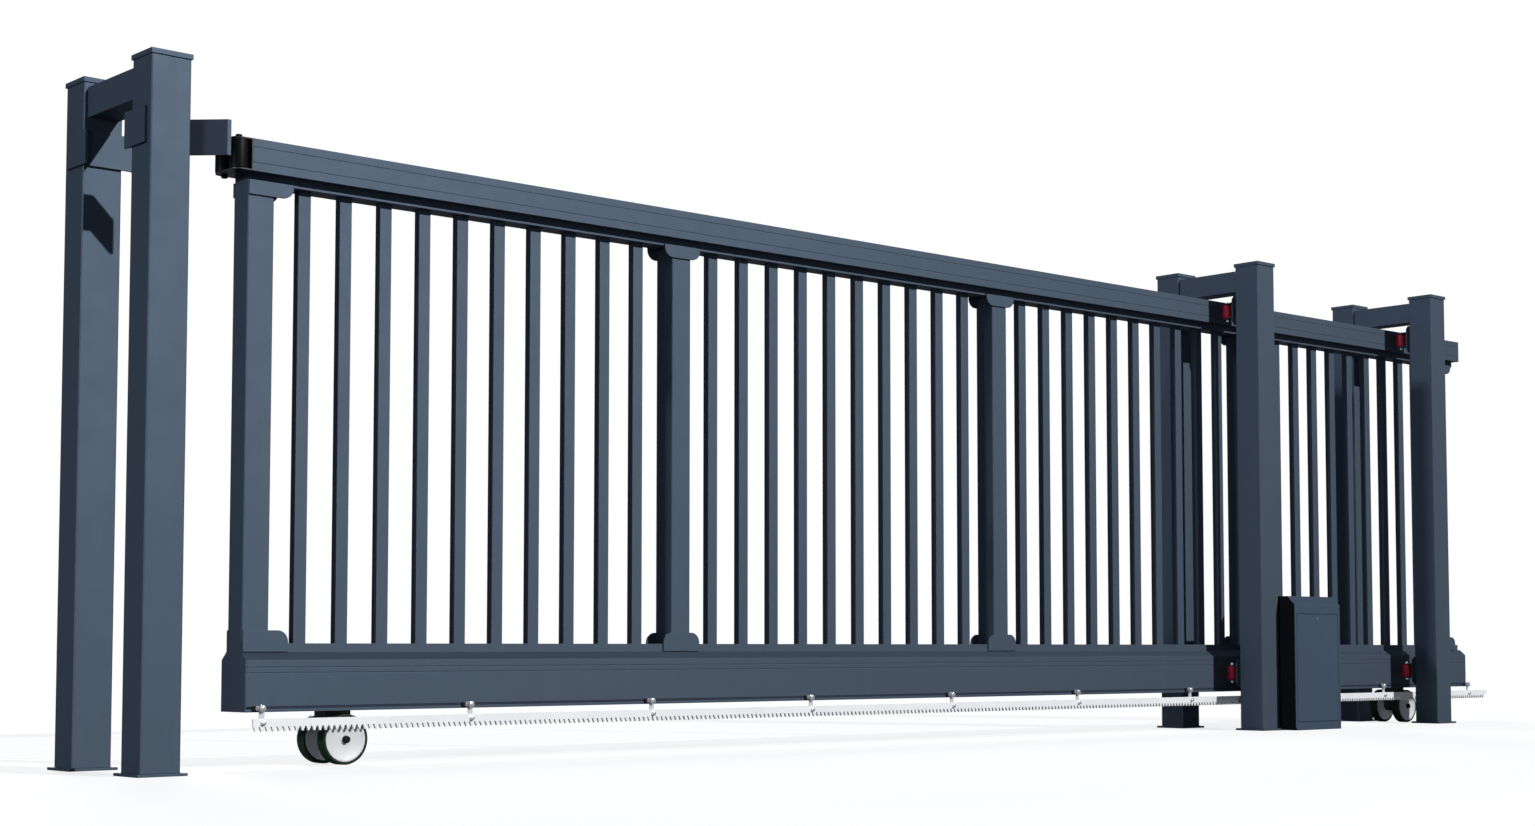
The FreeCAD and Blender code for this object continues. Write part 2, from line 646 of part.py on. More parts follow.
def guide_bracket(portal_x, front, rail_depth, roller_z):
    """Web, two ears, and the pin that the guide roller turns on."""
    axis = guide_axis(portal_x, front, rail_depth)
    post_y = INNER_FRONT_Y if front else INNER_REAR_Y
    outward = BRACKET_THICKNESS if front else -BRACKET_THICKNESS
    x_low = portal_x - HALF_POST - BRACKET_WEB_OVERHANG
    web = bracket_web(x_low, post_y, outward, roller_z + GUIDE_ROLLER_HEIGHT / 2)
    root_x = (x_low, axis[0] + 2 * BRACKET_EAR_HALF_WIDTH)
    low, high = ear_levels(roller_z)
    pieces = [bracket_ear(axis, root_x, post_y + outward, z) for z in (low, high)]
    pieces.append(upright_pin(*axis, GUIDE_PIN_DIAMETER, low, high + BRACKET_THICKNESS))
    return web.fuse(pieces).removeSplitter()


def build_guides():
    levels = (
        ("top", RAIL_DEPTH, TOP_ROLLER_UNDERSIDE),
        ("bottom", BEAM_DEPTH, BOTTOM_ROLLER_UNDERSIDE),
    )
    for portal, x in (("middle", 0.0), ("right", RIGHT_PORTAL_X)):
        brackets = []
        for level, depth, z in levels:
            for side, front in (("front", True), ("rear", False)):
                save(f"{portal}_{level}_roller_{side}", guide_roller(guide_axis(x, front, depth), z))
                brackets.append(guide_bracket(x, front, depth, z))
        save(f"{portal}_roller_brackets", Part.makeCompound(brackets))


def catch_sheet_outline(left_x):
    """Plan of the leg and its flared lead-in, whose end is cut parallel to the post's face."""
    flare = math.radians(CATCH_FLARE_ANGLE)
    bend_x = left_x + POST_SIZE + CATCH_LEG_OVERRUN
    end_x = bend_x + CATCH_FLARE_LENGTH * math.cos(flare)
    end_y = INNER_FRONT_Y - CATCH_FLARE_LENGTH * math.sin(flare)
    leaf_side_y = INNER_FRONT_Y + CATCH_THICKNESS
    return [
        (left_x, INNER_FRONT_Y),
        (bend_x, INNER_FRONT_Y),
        (end_x, end_y),
        (end_x + CATCH_THICKNESS / math.sin(flare), end_y),
        (bend_x + CATCH_THICKNESS * math.tan(flare / 2), leaf_side_y),
        (left_x, leaf_side_y),
    ]


def front_catch_plate():
    """Strap, leg and flared lead-in on the left portal's front post."""
    left_x = LEFT_PORTAL_X - HALF_POST
    strap = block(
        (left_x - CATCH_THICKNESS, left_x),
        (FRONT_POST_Y - HALF_POST + CATCH_STRAP_INSET, INNER_FRONT_Y + CATCH_STRAP_OVERRUN),
        (CATCH_UNDERSIDE, CATCH_UNDERSIDE + CATCH_HEIGHT),
    )
    outline = [(x, y, CATCH_UNDERSIDE) for x, y in catch_sheet_outline(left_x)]
    sheet = extrude_outline(outline, (0, 0, CATCH_HEIGHT))
    return strap.fuse(sheet).removeSplitter()


def rear_catch_plate():
    """The front catch plate's mirror image on the rear post."""
    middle_y = (FRONT_POST_Y + REAR_POST_Y) / 2
    return front_catch_plate().mirror(Vector(0, middle_y, 0), Vector(0, 1, 0))


def cabinet_x_range():
    x_low = HALF_POST + CABINET_GAP
    return (x_low, x_low + CABINET_WIDTH)


def cabinet_profile(inset):
    """The housing's (y, z) outline, moved inwards by inset."""
    y_low, y_high = INNER_FRONT_Y - CABINET_DEPTH + inset, INNER_FRONT_Y - inset
    top = CABINET_HEIGHT - inset
    slope = CABINET_SLOPE - inset * (2 - math.sqrt(2))
    bottom = PLINTH_HEIGHT + inset
    return [(y_low, bottom), (y_low, top - slope), (y_low + slope, top), (y_high, top), (y_high, bottom)]


def cabinet_housing():
    """A closed sheet housing with a sloped front edge, a shallow recess for its panel and a plinth."""
    x_low, x_high = cabinet_x_range()
    housing = extruded_along_x(cabinet_profile(0), x_low, CABINET_WIDTH)
    recess_x = (x_low + PANEL_MARGIN, x_high - PANEL_MARGIN)
    recess_z = (PANEL_SILL, PANEL_SILL + PANEL_HEIGHT)
    front_y = INNER_FRONT_Y - CABINET_DEPTH
    housing = housing.cut(block(recess_x, (front_y, front_y + PANEL_THICKNESS), recess_z))
    wall = CABINET_WALL + PANEL_THICKNESS
    housing = housing.cut(extruded_along_x(cabinet_profile(wall), x_low + wall, CABINET_WIDTH - 2 * wall))
    plinth = block(
        (x_low + PLINTH_INSET, x_high - PLINTH_INSET),
        (front_y + PLINTH_INSET, INNER_FRONT_Y - PLINTH_INSET),
        (0, PLINTH_HEIGHT),
    )
    return housing.fuse(plinth).removeSplitter()


def cabinet_panel():
    """The lift-off front panel, flush in its recess."""
    x_low, x_high = cabinet_x_range()
    front_y = INNER_FRONT_Y - CABINET_DEPTH
    edge = PANEL_MARGIN + PANEL_GAP
    z_range = (PANEL_SILL + PANEL_GAP, PANEL_SILL + PANEL_HEIGHT - PANEL_GAP)
    return block((x_low + edge, x_high - edge), (front_y, front_y + PANEL_THICKNESS), z_range)


build_portals()
build_leaf()
build_guides()
save("catch_plate_front", front_catch_plate())
save("catch_plate_rear", rear_catch_plate())
save("drive_cabinet", cabinet_housing())
save("cabinet_panel", cabinet_panel())
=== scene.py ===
import math

import bmesh
import bpy
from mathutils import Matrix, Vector


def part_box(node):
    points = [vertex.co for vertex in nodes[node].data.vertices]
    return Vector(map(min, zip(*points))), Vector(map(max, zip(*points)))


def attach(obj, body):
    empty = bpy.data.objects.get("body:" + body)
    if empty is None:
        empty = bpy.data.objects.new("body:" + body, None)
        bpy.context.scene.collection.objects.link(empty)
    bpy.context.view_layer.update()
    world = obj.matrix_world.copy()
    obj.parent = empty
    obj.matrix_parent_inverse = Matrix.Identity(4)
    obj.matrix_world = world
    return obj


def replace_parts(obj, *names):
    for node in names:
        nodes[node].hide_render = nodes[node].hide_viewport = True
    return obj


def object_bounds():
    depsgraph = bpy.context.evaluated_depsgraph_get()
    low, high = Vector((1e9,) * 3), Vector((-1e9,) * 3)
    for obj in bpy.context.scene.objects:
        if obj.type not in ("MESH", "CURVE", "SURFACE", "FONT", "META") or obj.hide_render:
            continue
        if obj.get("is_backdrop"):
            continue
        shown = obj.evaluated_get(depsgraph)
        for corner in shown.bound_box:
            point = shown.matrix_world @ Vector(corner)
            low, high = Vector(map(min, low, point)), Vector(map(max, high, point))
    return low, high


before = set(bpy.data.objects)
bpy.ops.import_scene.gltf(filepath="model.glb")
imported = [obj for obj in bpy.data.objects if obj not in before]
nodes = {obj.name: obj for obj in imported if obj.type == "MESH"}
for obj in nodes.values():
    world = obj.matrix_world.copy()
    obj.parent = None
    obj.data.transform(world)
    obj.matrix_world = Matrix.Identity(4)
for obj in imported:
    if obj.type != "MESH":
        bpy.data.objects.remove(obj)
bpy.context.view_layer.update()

# Portal posts. Three pairs of square steel tubes that carry and catch the leaf, powder coated in
# one dark blue-grey with a fine iron-mica sparkle. The coat has a slight orange peel, slow
# clouding, faint runs of dried rain and a paler film where it is thin on the edges.

PAINT = (0.066, 0.090, 0.121)
PAINT_PALE = (0.114, 0.156, 0.208)
PAINT_ROUGHNESS = 0.63
PAINT_MICA = 0.92
TUBE_EDGE_RADIUS = 0.0016
CORNER_TURN = (0.01, 0.16)


def add_node(tree, kind, inputs=(), **settings):
    """A node with its settings, and with its inputs given as values or as sockets to link."""
    node = tree.nodes.new(kind)
    for name, value in settings.items():
        setattr(node, name, value)
    for name, value in inputs:
        if isinstance(value, bpy.types.NodeSocket):
            tree.links.new(value, node.inputs[name])
        else:
            node.inputs[name].default_value = value
    return node


def calculated(tree, operation, first, second=0.0, third=0.0):
    """The result of one calculation."""
    inputs = [(0, first), (1, second), (2, third)]
    return add_node(tree, "ShaderNodeMath", inputs, operation=operation).outputs[0]


def between(tree, share, first, second):
    """A colour between two others."""
    inputs = [("Factor", share), ("A", first), ("B", second)]
    return add_node(tree, "ShaderNodeMix", inputs, data_type="RGBA").outputs["Result"]


def noise(tree, place, pattern):
    """Soft spots: so many to the metre, and with so much detail."""
    scale, detail = pattern
    inputs = [("Vector", place), ("Scale", scale), ("Detail", detail)]
    return add_node(tree, "ShaderNodeTexNoise", inputs).outputs["Fac"]


def stretched(tree, place, scale, location=(0, 0, 0)):
    """Coordinates moved, then multiplied along each axis."""
    moved = add_node(tree, "ShaderNodeVectorMath", [(0, place), (1, location)], operation="ADD")
    return add_node(tree, "ShaderNodeMapping", [("Vector", moved.outputs[0]), ("Scale", scale)]).outputs[0]


def stepped(tree, value, span):
    """Nought before a span, one after it, and smooth between its two ends."""
    start, end = span
    inputs = [("Value", value), ("From Min", start), ("From Max", end)]
    return add_node(tree, "ShaderNodeMapRange", inputs, interpolation_type="SMOOTHSTEP").outputs[0]


def shader_group(name, inputs, outputs):
    """A shader group, with the sockets of its input node and of its output node."""
    group = bpy.data.node_groups.new(name, "ShaderNodeTree")
    for label, kind in inputs:
        group.interface.new_socket(label, in_out="INPUT", socket_type="NodeSocket" + kind)
    for label, kind in outputs:
        group.interface.new_socket(label, in_out="OUTPUT", socket_type="NodeSocket" + kind)
    given = add_node(group, "NodeGroupInput").outputs
    put = add_node(group, "NodeGroupOutput").inputs
    return group, given, put


def edge_turn_group():
    """How far a surface turns near a corner, and its rounded normal there."""
    group, given, put = shader_group(
        "edge_turn", [("Radius", "Float")], [("Turn", "Float"), ("Normal", "Vector")]
    )
    rounded = add_node(group, "ShaderNodeBevel", [("Radius", given["Radius"])], samples=4).outputs[0]
    flat = add_node(group, "ShaderNodeNewGeometry").outputs["Normal"]
    along = add_node(group, "ShaderNodeVectorMath", [(0, rounded), (1, flat)], operation="DOT_PRODUCT")
    away = calculated(group, "SUBTRACT", 1.0, along.outputs["Value"])
    group.links.new(stepped(group, away, CORNER_TURN), put["Turn"])
    group.links.new(rounded, put["Normal"])
    return group


edge_turn = edge_turn_group()

# The coat's patterns, as spots to the metre and detail, then where and how much they show.
CLOUDS = (2.4, 5.0)
RUN_STREAKS = (1.0, 4.0)
RUN_STRETCH = (34, 34, 1.3)
RUNS_SHOW = (0.48, 0.78)
WEAR_SPOTS = (55.0, 3.0)
DUST_SPOTS = (38.0, 6.0)
DUST_LIES = (0.8, 0.98)
DUST_PALES = 0.20
DUST_DULLS = 0.15
GRAIN = (640.0, 2.0)
GRAIN_SPREAD = 0.08
GLOSS_CLOUDS = (12.0, 4.0)
GLOSS_SPREAD = 0.10
PEEL = (520.0, 3.0)


def powder_coat_group():
    """Colour, roughness, peel and rounded normal of a powder coat."""
    group, given, put = shader_group(
        "powder_coat",
        [("Paint", "Color"), ("Pale Paint", "Color"), ("Clouding", "Float"), ("Runs", "Float"),
         ("Edge Wear", "Float"), ("Edge Radius", "Float"), ("Roughness", "Float")],
        [("Color", "Color"), ("Roughness", "Float"), ("Peel", "Float"), ("Normal", "Vector")],
    )
    place = add_node(group, "ShaderNodeTexCoord").outputs["Object"]
    edge = add_node(group, "ShaderNodeGroup", node_tree=edge_turn)
    group.links.new(given["Edge Radius"], edge.inputs["Radius"])
    cloud = calculated(group, "MULTIPLY", noise(group, place, CLOUDS), given["Clouding"])
    runs = stepped(group, noise(group, stretched(group, place, RUN_STRETCH), RUN_STREAKS), RUNS_SHOW)
    runs = calculated(group, "MULTIPLY", runs, given["Runs"])
    worn = calculated(group, "MULTIPLY", edge.outputs["Turn"], given["Edge Wear"])
    worn = calculated(group, "MULTIPLY", worn, noise(group, place, WEAR_SPOTS))
    up = add_node(group, "ShaderNodeSeparateXYZ", [(0, edge.outputs["Normal"])]).outputs["Z"]
    dust = calculated(group, "MULTIPLY", stepped(group, up, DUST_LIES), noise(group, place, DUST_SPOTS))
    pale = calculated(group, "ADD", calculated(group, "ADD", cloud, runs), worn)
    pale = calculated(group, "MULTIPLY_ADD", dust, DUST_PALES, pale)
    grain = noise(group, place, GRAIN)
    grain = calculated(group, "MULTIPLY_ADD", grain, GRAIN_SPREAD, -GRAIN_SPREAD / 2)
    pale = calculated(group, "ADD", pale, grain)
    group.links.new(between(group, pale, given["Paint"], given["Pale Paint"]), put["Color"])
    gloss = noise(group, place, GLOSS_CLOUDS)
    gloss = calculated(group, "MULTIPLY_ADD", gloss, GLOSS_SPREAD, -GLOSS_SPREAD / 2)
    gloss = calculated(group, "MULTIPLY_ADD", dust, DUST_DULLS, gloss)
    group.links.new(calculated(group, "ADD", gloss, given["Roughness"]), put["Roughness"])
    group.links.new(noise(group, place, PEEL), put["Peel"])
    group.links.new(edge.outputs["Normal"], put["Normal"])
    return group


powder_coat = powder_coat_group()

EDGE_WEAR = 0.55
RELIEF_DEPTH = 0.0002
PEEL_STRENGTH = 0.08


def new_material(name):
    """A material, with its node tree and its shader."""
    material = bpy.data.materials.new(name)
    material.use_nodes = True
    return material, material.node_tree, material.node_tree.nodes["Principled BSDF"]


def coloured_by(tree, shader, group, values):
    """Place a group with its own values, to give colour and roughness. Returns its outputs."""
    placed = add_node(tree, "ShaderNodeGroup", values, node_tree=group)
    tree.links.new(placed.outputs["Color"], shader.inputs["Base Color"])
    tree.links.new(placed.outputs["Roughness"], shader.inputs["Roughness"])
    return placed.outputs


def raised(tree, shader, height, normal, strength, depth=RELIEF_DEPTH):
    """Bump from a height, on a rounded or flat normal."""
    inputs = [("Height", height), ("Normal", normal), ("Distance", depth), ("Strength", strength)]
    tree.links.new(add_node(tree, "ShaderNodeBump", inputs).outputs[0], shader.inputs["Normal"])


def coated(name, paint, pale, clouding=0.10, runs=0.05, roughness=PAINT_ROUGHNESS, metallic=PAINT_MICA):
    """A powder-coated finish."""
    material, tree, shader = new_material(name)
    coat = coloured_by(tree, shader, powder_coat, [
        ("Paint", (*paint, 1)), ("Pale Paint", (*pale, 1)), ("Clouding", clouding), ("Runs", runs),
        ("Edge Wear", EDGE_WEAR), ("Edge Radius", TUBE_EDGE_RADIUS), ("Roughness", roughness),
    ])
    raised(tree, shader, coat["Peel"], coat["Normal"], PEEL_STRENGTH)
    shader.inputs["Metallic"].default_value = metallic
    return material


def finish_nodes(names, material):
    """Give CAD nodes their finish."""
    for name in names:
        materials = nodes[name].data.materials
        materials.clear()
        materials.append(material)


portals = ("left", "middle", "right")
sides = ("front", "rear")
posts = [f"{portal}_{side}_post" for portal in portals for side in sides]
frame_coat = coated("frame_coat", PAINT, PAINT_PALE)
finish_nodes(posts, frame_coat)

# Base plates. Square steel plates on the ground, one under each post. A fillet weld runs round
# the foot of each post, ground a little and coated over.

FOOT_WELD_LEG = 0.0045
WELD_CORNER = 0.8
FACES_UP = 0.9
SMOOTH_ANGLE = math.radians(34)


def only(piece):
    """Select one piece, and nothing else."""
    bpy.ops.object.select_all(action="DESELECT")
    piece.select_set(True)
    bpy.context.view_layer.objects.active = piece


def edit_picked(piece, picks, kind="edges"):
    """Open a piece in edit mode with the edges or faces selected that the test picks."""
    only(piece)
    bpy.ops.object.mode_set(mode="EDIT")
    mesh = bmesh.from_edit_mesh(piece.data)
    for element in list(mesh.faces) + list(mesh.edges) + list(mesh.verts):
        element.select_set(False)
    for element in getattr(mesh, kind):
        if picks(element):
            element.select_set(True)
    mesh.select_flush_mode()
    bmesh.update_edit_mesh(piece.data)


def edit_top(piece):
    """Open a piece in edit mode with the faces selected that look up."""
    edit_picked(piece, lambda face: face.normal.z > FACES_UP, "faces")


def close_edit():
    """Leave edit mode."""
    bpy.ops.object.mode_set(mode="OBJECT")


def settled(piece, place=(0, 0, 0), turn=(0, 0, 0)):
    """Put a piece in its place, and keep the place in its mesh."""
    only(piece)
    piece.location = place
    piece.rotation_euler = turn
    bpy.ops.object.transform_apply(location=True, rotation=True, scale=True)
    return piece


def copy_of(piece, name):
    """A copy with its own mesh."""
    only(piece)
    bpy.ops.object.duplicate()
    copy = bpy.context.object
    copy.name = copy.data.name = name
    return copy


def joined(pieces, name):
    """Several pieces made one."""
    bpy.ops.object.select_all(action="DESELECT")
    for piece in pieces:
        piece.select_set(True)
    bpy.context.view_layer.objects.active = pieces[0]
    bpy.ops.object.join()
    pieces[0].name = pieces[0].data.name = name
    return pieces[0]


def copies_at(pattern, name, places, turn=(0, 0, 0)):
    """One piece made of copies of a pattern, which is used up."""
    copies = []
    for number, place in enumerate(places):
        copies.append(settled(copy_of(pattern, f"{name}_{number}"), place, turn))
    bpy.data.objects.remove(pattern)
    return joined(copies, name)


def finished(piece, material, body):
    """Material, smooth curved faces and body of a new piece."""
    piece.data.materials.clear()
    piece.data.materials.append(material)
    only(piece)
    bpy.ops.object.shade_smooth_by_angle(angle=SMOOTH_ANGLE)
    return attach(piece, body)


def fillet_weld(width, depth, leg):
    """A weld round a tube's end: wide below, narrow above, and its lower half below the origin."""
    bpy.ops.object.select_all(action="DESELECT")
    bpy.ops.mesh.primitive_cube_add(size=1.0)
    weld = bpy.context.object
    weld.scale = (width + 2 * leg, depth + 2 * leg, leg)
    settled(weld)
    edit_top(weld)
    bpy.ops.transform.resize(value=(width / (width + 2 * leg), depth / (depth + 2 * leg), 1))
    close_edit()
    edit_picked(weld, lambda edge: abs(edge.verts[0].co.z - edge.verts[1].co.z) > leg / 2)
    bpy.ops.mesh.bevel(offset=leg * WELD_CORNER, segments=3)
    close_edit()
    return weld


def middle(low, high):
    """Halfway between two values."""
    return (low + high) / 2


feet = []
for post in posts:
    low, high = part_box(post)
    feet.append((middle(low.x, high.x), middle(low.y, high.y), low.z))
post_size = high.x - low.x
foot_welds = copies_at(fillet_weld(post_size, post_size, FOOT_WELD_LEG), "foot_welds", feet)
finished(foot_welds, frame_coat, "portals")
finish_nodes(["base_plates"], frame_coat)

# Post caps. Flat lids pressed from sheet steel, a little wider than the tube, each with a skirt
# pushed into the tube's end. They are coated with the posts.

finish_nodes(["post_caps"], frame_coat)

# Crossbeams. Square steel tubes between the two posts of a portal, over the leaf. A fillet weld
# runs round each end, under the same coat.

BEAM_WELD_LEG = 0.0035
FACING_FRONT = (math.pi / 2, 0, 0)
FACING_REAR = (-math.pi / 2, 0, 0)

front_welds, rear_welds = [], []
for portal in portals:
    low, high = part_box(f"{portal}_crossbeam")
    centre = (middle(low.x, high.x), middle(low.z, high.z))
    front_welds.append((centre[0], low.y, centre[1]))
    rear_welds.append((centre[0], high.y, centre[1]))
weld_pattern = fillet_weld(high.x - low.x, high.z - low.z, BEAM_WELD_LEG)
rear_pattern = copy_of(weld_pattern, "rear_pattern")
crossbeam_welds = joined(
    [
        copies_at(weld_pattern, "front_welds", front_welds, FACING_REAR),
        copies_at(rear_pattern, "rear_welds", rear_welds, FACING_FRONT),
    ],
    "crossbeam_welds",
)
finished(crossbeam_welds, frame_coat, "portals")
finish_nodes([f"{portal}_crossbeam" for portal in portals], frame_coat)

# Catch plates. Flat steel bars bent round the left posts and welded to them, with lead-ins that
# spread towards the leaf. They are coated with the posts.

finish_nodes(["catch_plate_front", "catch_plate_rear"], frame_coat)

# Guide brackets. Bent steel plates welded inside the middle and right posts, each with two ears
# round a roller's pin, in a coat a little darker than the posts' as painted shade. A bright plated
# nut holds the pin above and below.

ZINC = (0.80, 0.82, 0.85)
ZINC_TARNISHED = (0.38, 0.40, 0.43)
NUT_ZINC = (0.93, 0.94, 0.95)
NUT_TARNISHED = (0.66, 0.68, 0.70)
# Painted shade: the brackets' coat is a little darker than the posts'.
BRACKET_PAINT_SHADED = (0.060, 0.080, 0.106)

# Patterns on plated steel, as spots to the metre and detail, then where and how much they show.
PATCHES = (9.0, 6.0)
PATCHES_SHOW = (0.35, 0.75)
PATCHES_TARNISH = 0.6
DRAWN_LINES = (1.0, 4.0)
DRAWN_STRETCH = (12, 240, 240)
DRAWN_TARNISH = 0.5
DRAWN_DULLS = 0.16
DRAWN_STRENGTH = 0.12
SPECKS = (190.0, 3.0)
SPECKS_SHOW = (0.60, 0.78)
SPECKS_TARNISH = 0.5
SPECKS_SINK = 0.5
PLATED_EDGE_RADIUS = 0.0008
EDGE_BRIGHTENS = 0.1


def plated_metal_group():
    """Colour, roughness and fine relief of plated or scaled steel, drawn along X."""
    group, given, put = shader_group(
        "plated_metal",
        [("Metal", "Color"), ("Tarnish", "Color"), ("Tarnish Share", "Float"), ("Roughness", "Float")],
        [("Color", "Color"), ("Roughness", "Float"), ("Relief", "Float"), ("Normal", "Vector")],
    )
    place = add_node(group, "ShaderNodeTexCoord").outputs["Object"]
    edge = add_node(group, "ShaderNodeGroup", [("Radius", PLATED_EDGE_RADIUS)], node_tree=edge_turn)
    patches = stepped(group, noise(group, place, PATCHES), PATCHES_SHOW)
    drawn = noise(group, stretched(group, place, DRAWN_STRETCH), DRAWN_LINES)
    specks = stepped(group, noise(group, place, SPECKS), SPECKS_SHOW)
    share = calculated(group, "MULTIPLY", patches, PATCHES_TARNISH)
    share = calculated(group, "MULTIPLY_ADD", drawn, DRAWN_TARNISH, share)
    share = calculated(group, "MULTIPLY_ADD", specks, SPECKS_TARNISH, share)
    share = calculated(group, "MULTIPLY", share, given["Tarnish Share"])
    bright = calculated(group, "MULTIPLY", edge.outputs["Turn"], EDGE_BRIGHTENS)
    share = calculated(group, "SUBTRACT", share, bright)
    group.links.new(between(group, share, given["Metal"], given["Tarnish"]), put["Color"])
    rough = calculated(group, "ADD", given["Roughness"], -DRAWN_DULLS / 2)
    rough = calculated(group, "MULTIPLY_ADD", drawn, DRAWN_DULLS, rough)
    group.links.new(rough, put["Roughness"])
    group.links.new(calculated(group, "MULTIPLY_ADD", specks, -SPECKS_SINK, drawn), put["Relief"])
    group.links.new(edge.outputs["Normal"], put["Normal"])
    return group


plated_metal = plated_metal_group()


def plated(name, metal, tarnish, share, roughness, metallic):
    """Plated or scaled steel."""
    material, tree, shader = new_material(name)
    plate = coloured_by(tree, shader, plated_metal, [
        ("Metal", (*metal, 1)), ("Tarnish", (*tarnish, 1)), ("Tarnish Share", share),
        ("Roughness", roughness),
    ])
    raised(tree, shader, plate["Relief"], plate["Normal"], DRAWN_STRENGTH)
    shader.inputs["Metallic"].default_value = metallic
    return material


bright_zinc = plated("bright_zinc", ZINC, ZINC_TARNISHED, share=0.45, roughness=0.30, metallic=0.80)
nut_zinc = plated("nut_zinc", NUT_ZINC, NUT_TARNISHED, share=0.35, roughness=0.36, metallic=0.25)

# The nuts and the thread ends over them, with a head's and a washer's roundings as shares of its size.
NUT_ACROSS = 0.0100
NUT_HEIGHT = 0.0060
NUT_WASHER = 0.0064
NUT_WASHER_HEIGHT = 0.0010
HEAD_CROWN = 0.09
HEAD_RISE = 0.1
HEAD_CHAMFER = 0.10
WASHER_ROUNDING = 0.35
THREAD_RADIUS = 0.0030
THREAD_TIP = 0.8
THREAD_CHAMFER = 0.0006
THREAD_HEIGHT = 0.0018
EAR_OUTSIDE_ROLLER = 0.0045
SAME_PLACE = 1e-6


def at_level(height):
    """A test for edges that lie at a height."""
    return lambda edge: all(abs(vertex.co.z - height) < SAME_PLACE for vertex in edge.verts)


def hex_head(across, height, washer_radius, washer_height):
    """A six-sided head with a turned top edge, on a round washer that stands on the origin."""
    bpy.ops.object.select_all(action="DESELECT")
    bpy.ops.mesh.primitive_cylinder_add(vertices=6, radius=across / math.sqrt(3), depth=height)
    head = settled(bpy.context.object, (0, 0, washer_height + height / 2))
    edit_top(head)
    bpy.ops.mesh.inset(thickness=across * HEAD_CROWN, depth=0.0)
    bpy.ops.transform.translate(value=(0, 0, height * HEAD_RISE))
    close_edit()
    edit_picked(head, at_level(washer_height + height))
    bpy.ops.mesh.bevel(offset=height * HEAD_CHAMFER, segments=2)
    close_edit()
    bpy.ops.object.select_all(action="DESELECT")
    bpy.ops.mesh.primitive_cylinder_add(vertices=32, radius=washer_radius, depth=washer_height)
    washer = settled(bpy.context.object, (0, 0, washer_height / 2))
    edit_picked(washer, at_level(washer_height))
    bpy.ops.mesh.bevel(offset=washer_height * WASHER_ROUNDING, segments=2)
    close_edit()
    return joined([head, washer], "head")


def turned(name, profile, steps=64):
    """A closed outline of (radius, height) points spun round Z, as on a lathe."""
    bpy.ops.object.select_all(action="DESELECT")
    bpy.ops.mesh.primitive_plane_add(size=0.01)
    piece = bpy.context.object
    piece.name = piece.data.name = name
    bpy.ops.object.mode_set(mode="EDIT")
    bpy.ops.mesh.select_all(action="SELECT")
    bpy.ops.mesh.merge(type="CENTER")
    bpy.ops.transform.translate(value=(profile[0][0], 0, profile[0][1]))
    if profile[0][0] > 0:
        profile = [*profile, profile[0]]
    for (radius, height), (next_radius, next_height) in zip(profile, profile[1:]):
        step = (next_radius - radius, 0, next_height - height)
        bpy.ops.mesh.extrude_region_move(TRANSFORM_OT_translate={"value": step})
    bpy.ops.mesh.select_all(action="SELECT")
    bpy.ops.mesh.spin(steps=steps, angle=2 * math.pi, center=(0, 0, 0), axis=(0, 0, 1))
    bpy.ops.mesh.select_all(action="SELECT")
    bpy.ops.mesh.remove_doubles(threshold=SAME_PLACE)
    bpy.ops.mesh.normals_make_consistent(inside=False)
    close_edit()
    return piece


def pin_nut():
    """A nut on its washer, with the chamfered end of the pin's thread above it."""
    nut = hex_head(NUT_ACROSS, NUT_HEIGHT, NUT_WASHER, NUT_WASHER_HEIGHT)
    seat = NUT_WASHER_HEIGHT + NUT_HEIGHT
    tip = seat + NUT_HEIGHT * HEAD_RISE + THREAD_HEIGHT
    outline = [(0.0, seat), (THREAD_RADIUS, seat), (THREAD_RADIUS, tip - THREAD_CHAMFER),
               (THREAD_RADIUS * THREAD_TIP, tip), (0.0, tip)]
    return joined([nut, turned("thread_end", outline, steps=24)], "pin_nut")


def spots_outside(names, above, reach):
    """Where the axes of upright rollers come out of the plates above or below them."""
    places = []
    for name in names:
        low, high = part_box(name)
        level = high.z + reach if above else low.z - reach
        places.append((middle(low.x, high.x), middle(low.y, high.y), level))
    return places


UPSIDE_DOWN = (math.pi, 0, 0)
guide_rollers = {
    portal: [f"{portal}_{level}_roller_{side}" for level in ("top", "bottom") for side in sides]
    for portal in ("middle", "right")
}
for portal, rollers in guide_rollers.items():
    over = spots_outside(rollers, True, EAR_OUTSIDE_ROLLER)
    under = spots_outside(rollers, False, EAR_OUTSIDE_ROLLER)
    upper = copies_at(pin_nut(), "upper_nuts", over)
    lower = copies_at(pin_nut(), "lower_nuts", under, UPSIDE_DOWN)
    nuts = joined([upper, lower], f"{portal}_guide_nuts")
    finished(nuts, nut_zinc, "portals")

# The brackets and the key cover take this darker coat, which is painted shade.
bracket_shade_coat = coated("bracket_shade_coat", BRACKET_PAINT_SHADED, PAINT_PALE)
finish_nodes(["middle_roller_brackets", "right_roller_brackets"], bracket_shade_coat)

# Guide rollers. Turned from dark red nylon rod, with well rounded rims and a drilled bore.

RED = (0.150, 0.002, 0.010)
RED_SCUFFED = (0.17, 0.008, 0.018)
ROLLER_BORE = 0.00606
BORE_SINK = 0.0008
RIM_ROUNDING = 0.0045
RIM_STEPS = 5

# Patterns on plastic and rubber, as spots to the metre and detail, then where and how much they show.
RINGS = (1.0, 3.0)
RINGS_ALONG = 900.0
RINGS_ACROSS = 3.0
RINGS_PALE = 0.35
RINGS_STRENGTH = 0.15
FILM = (26.0, 5.0)
FILM_PALES = 0.5
SCUFFS = (120.0, 5.0)
SCUFFS_SHOW = (0.50, 0.80)
SCUFFS_PALE = 0.6
SCUFFS_DULL = 0.35
SCUFFS_SINK = 0.3


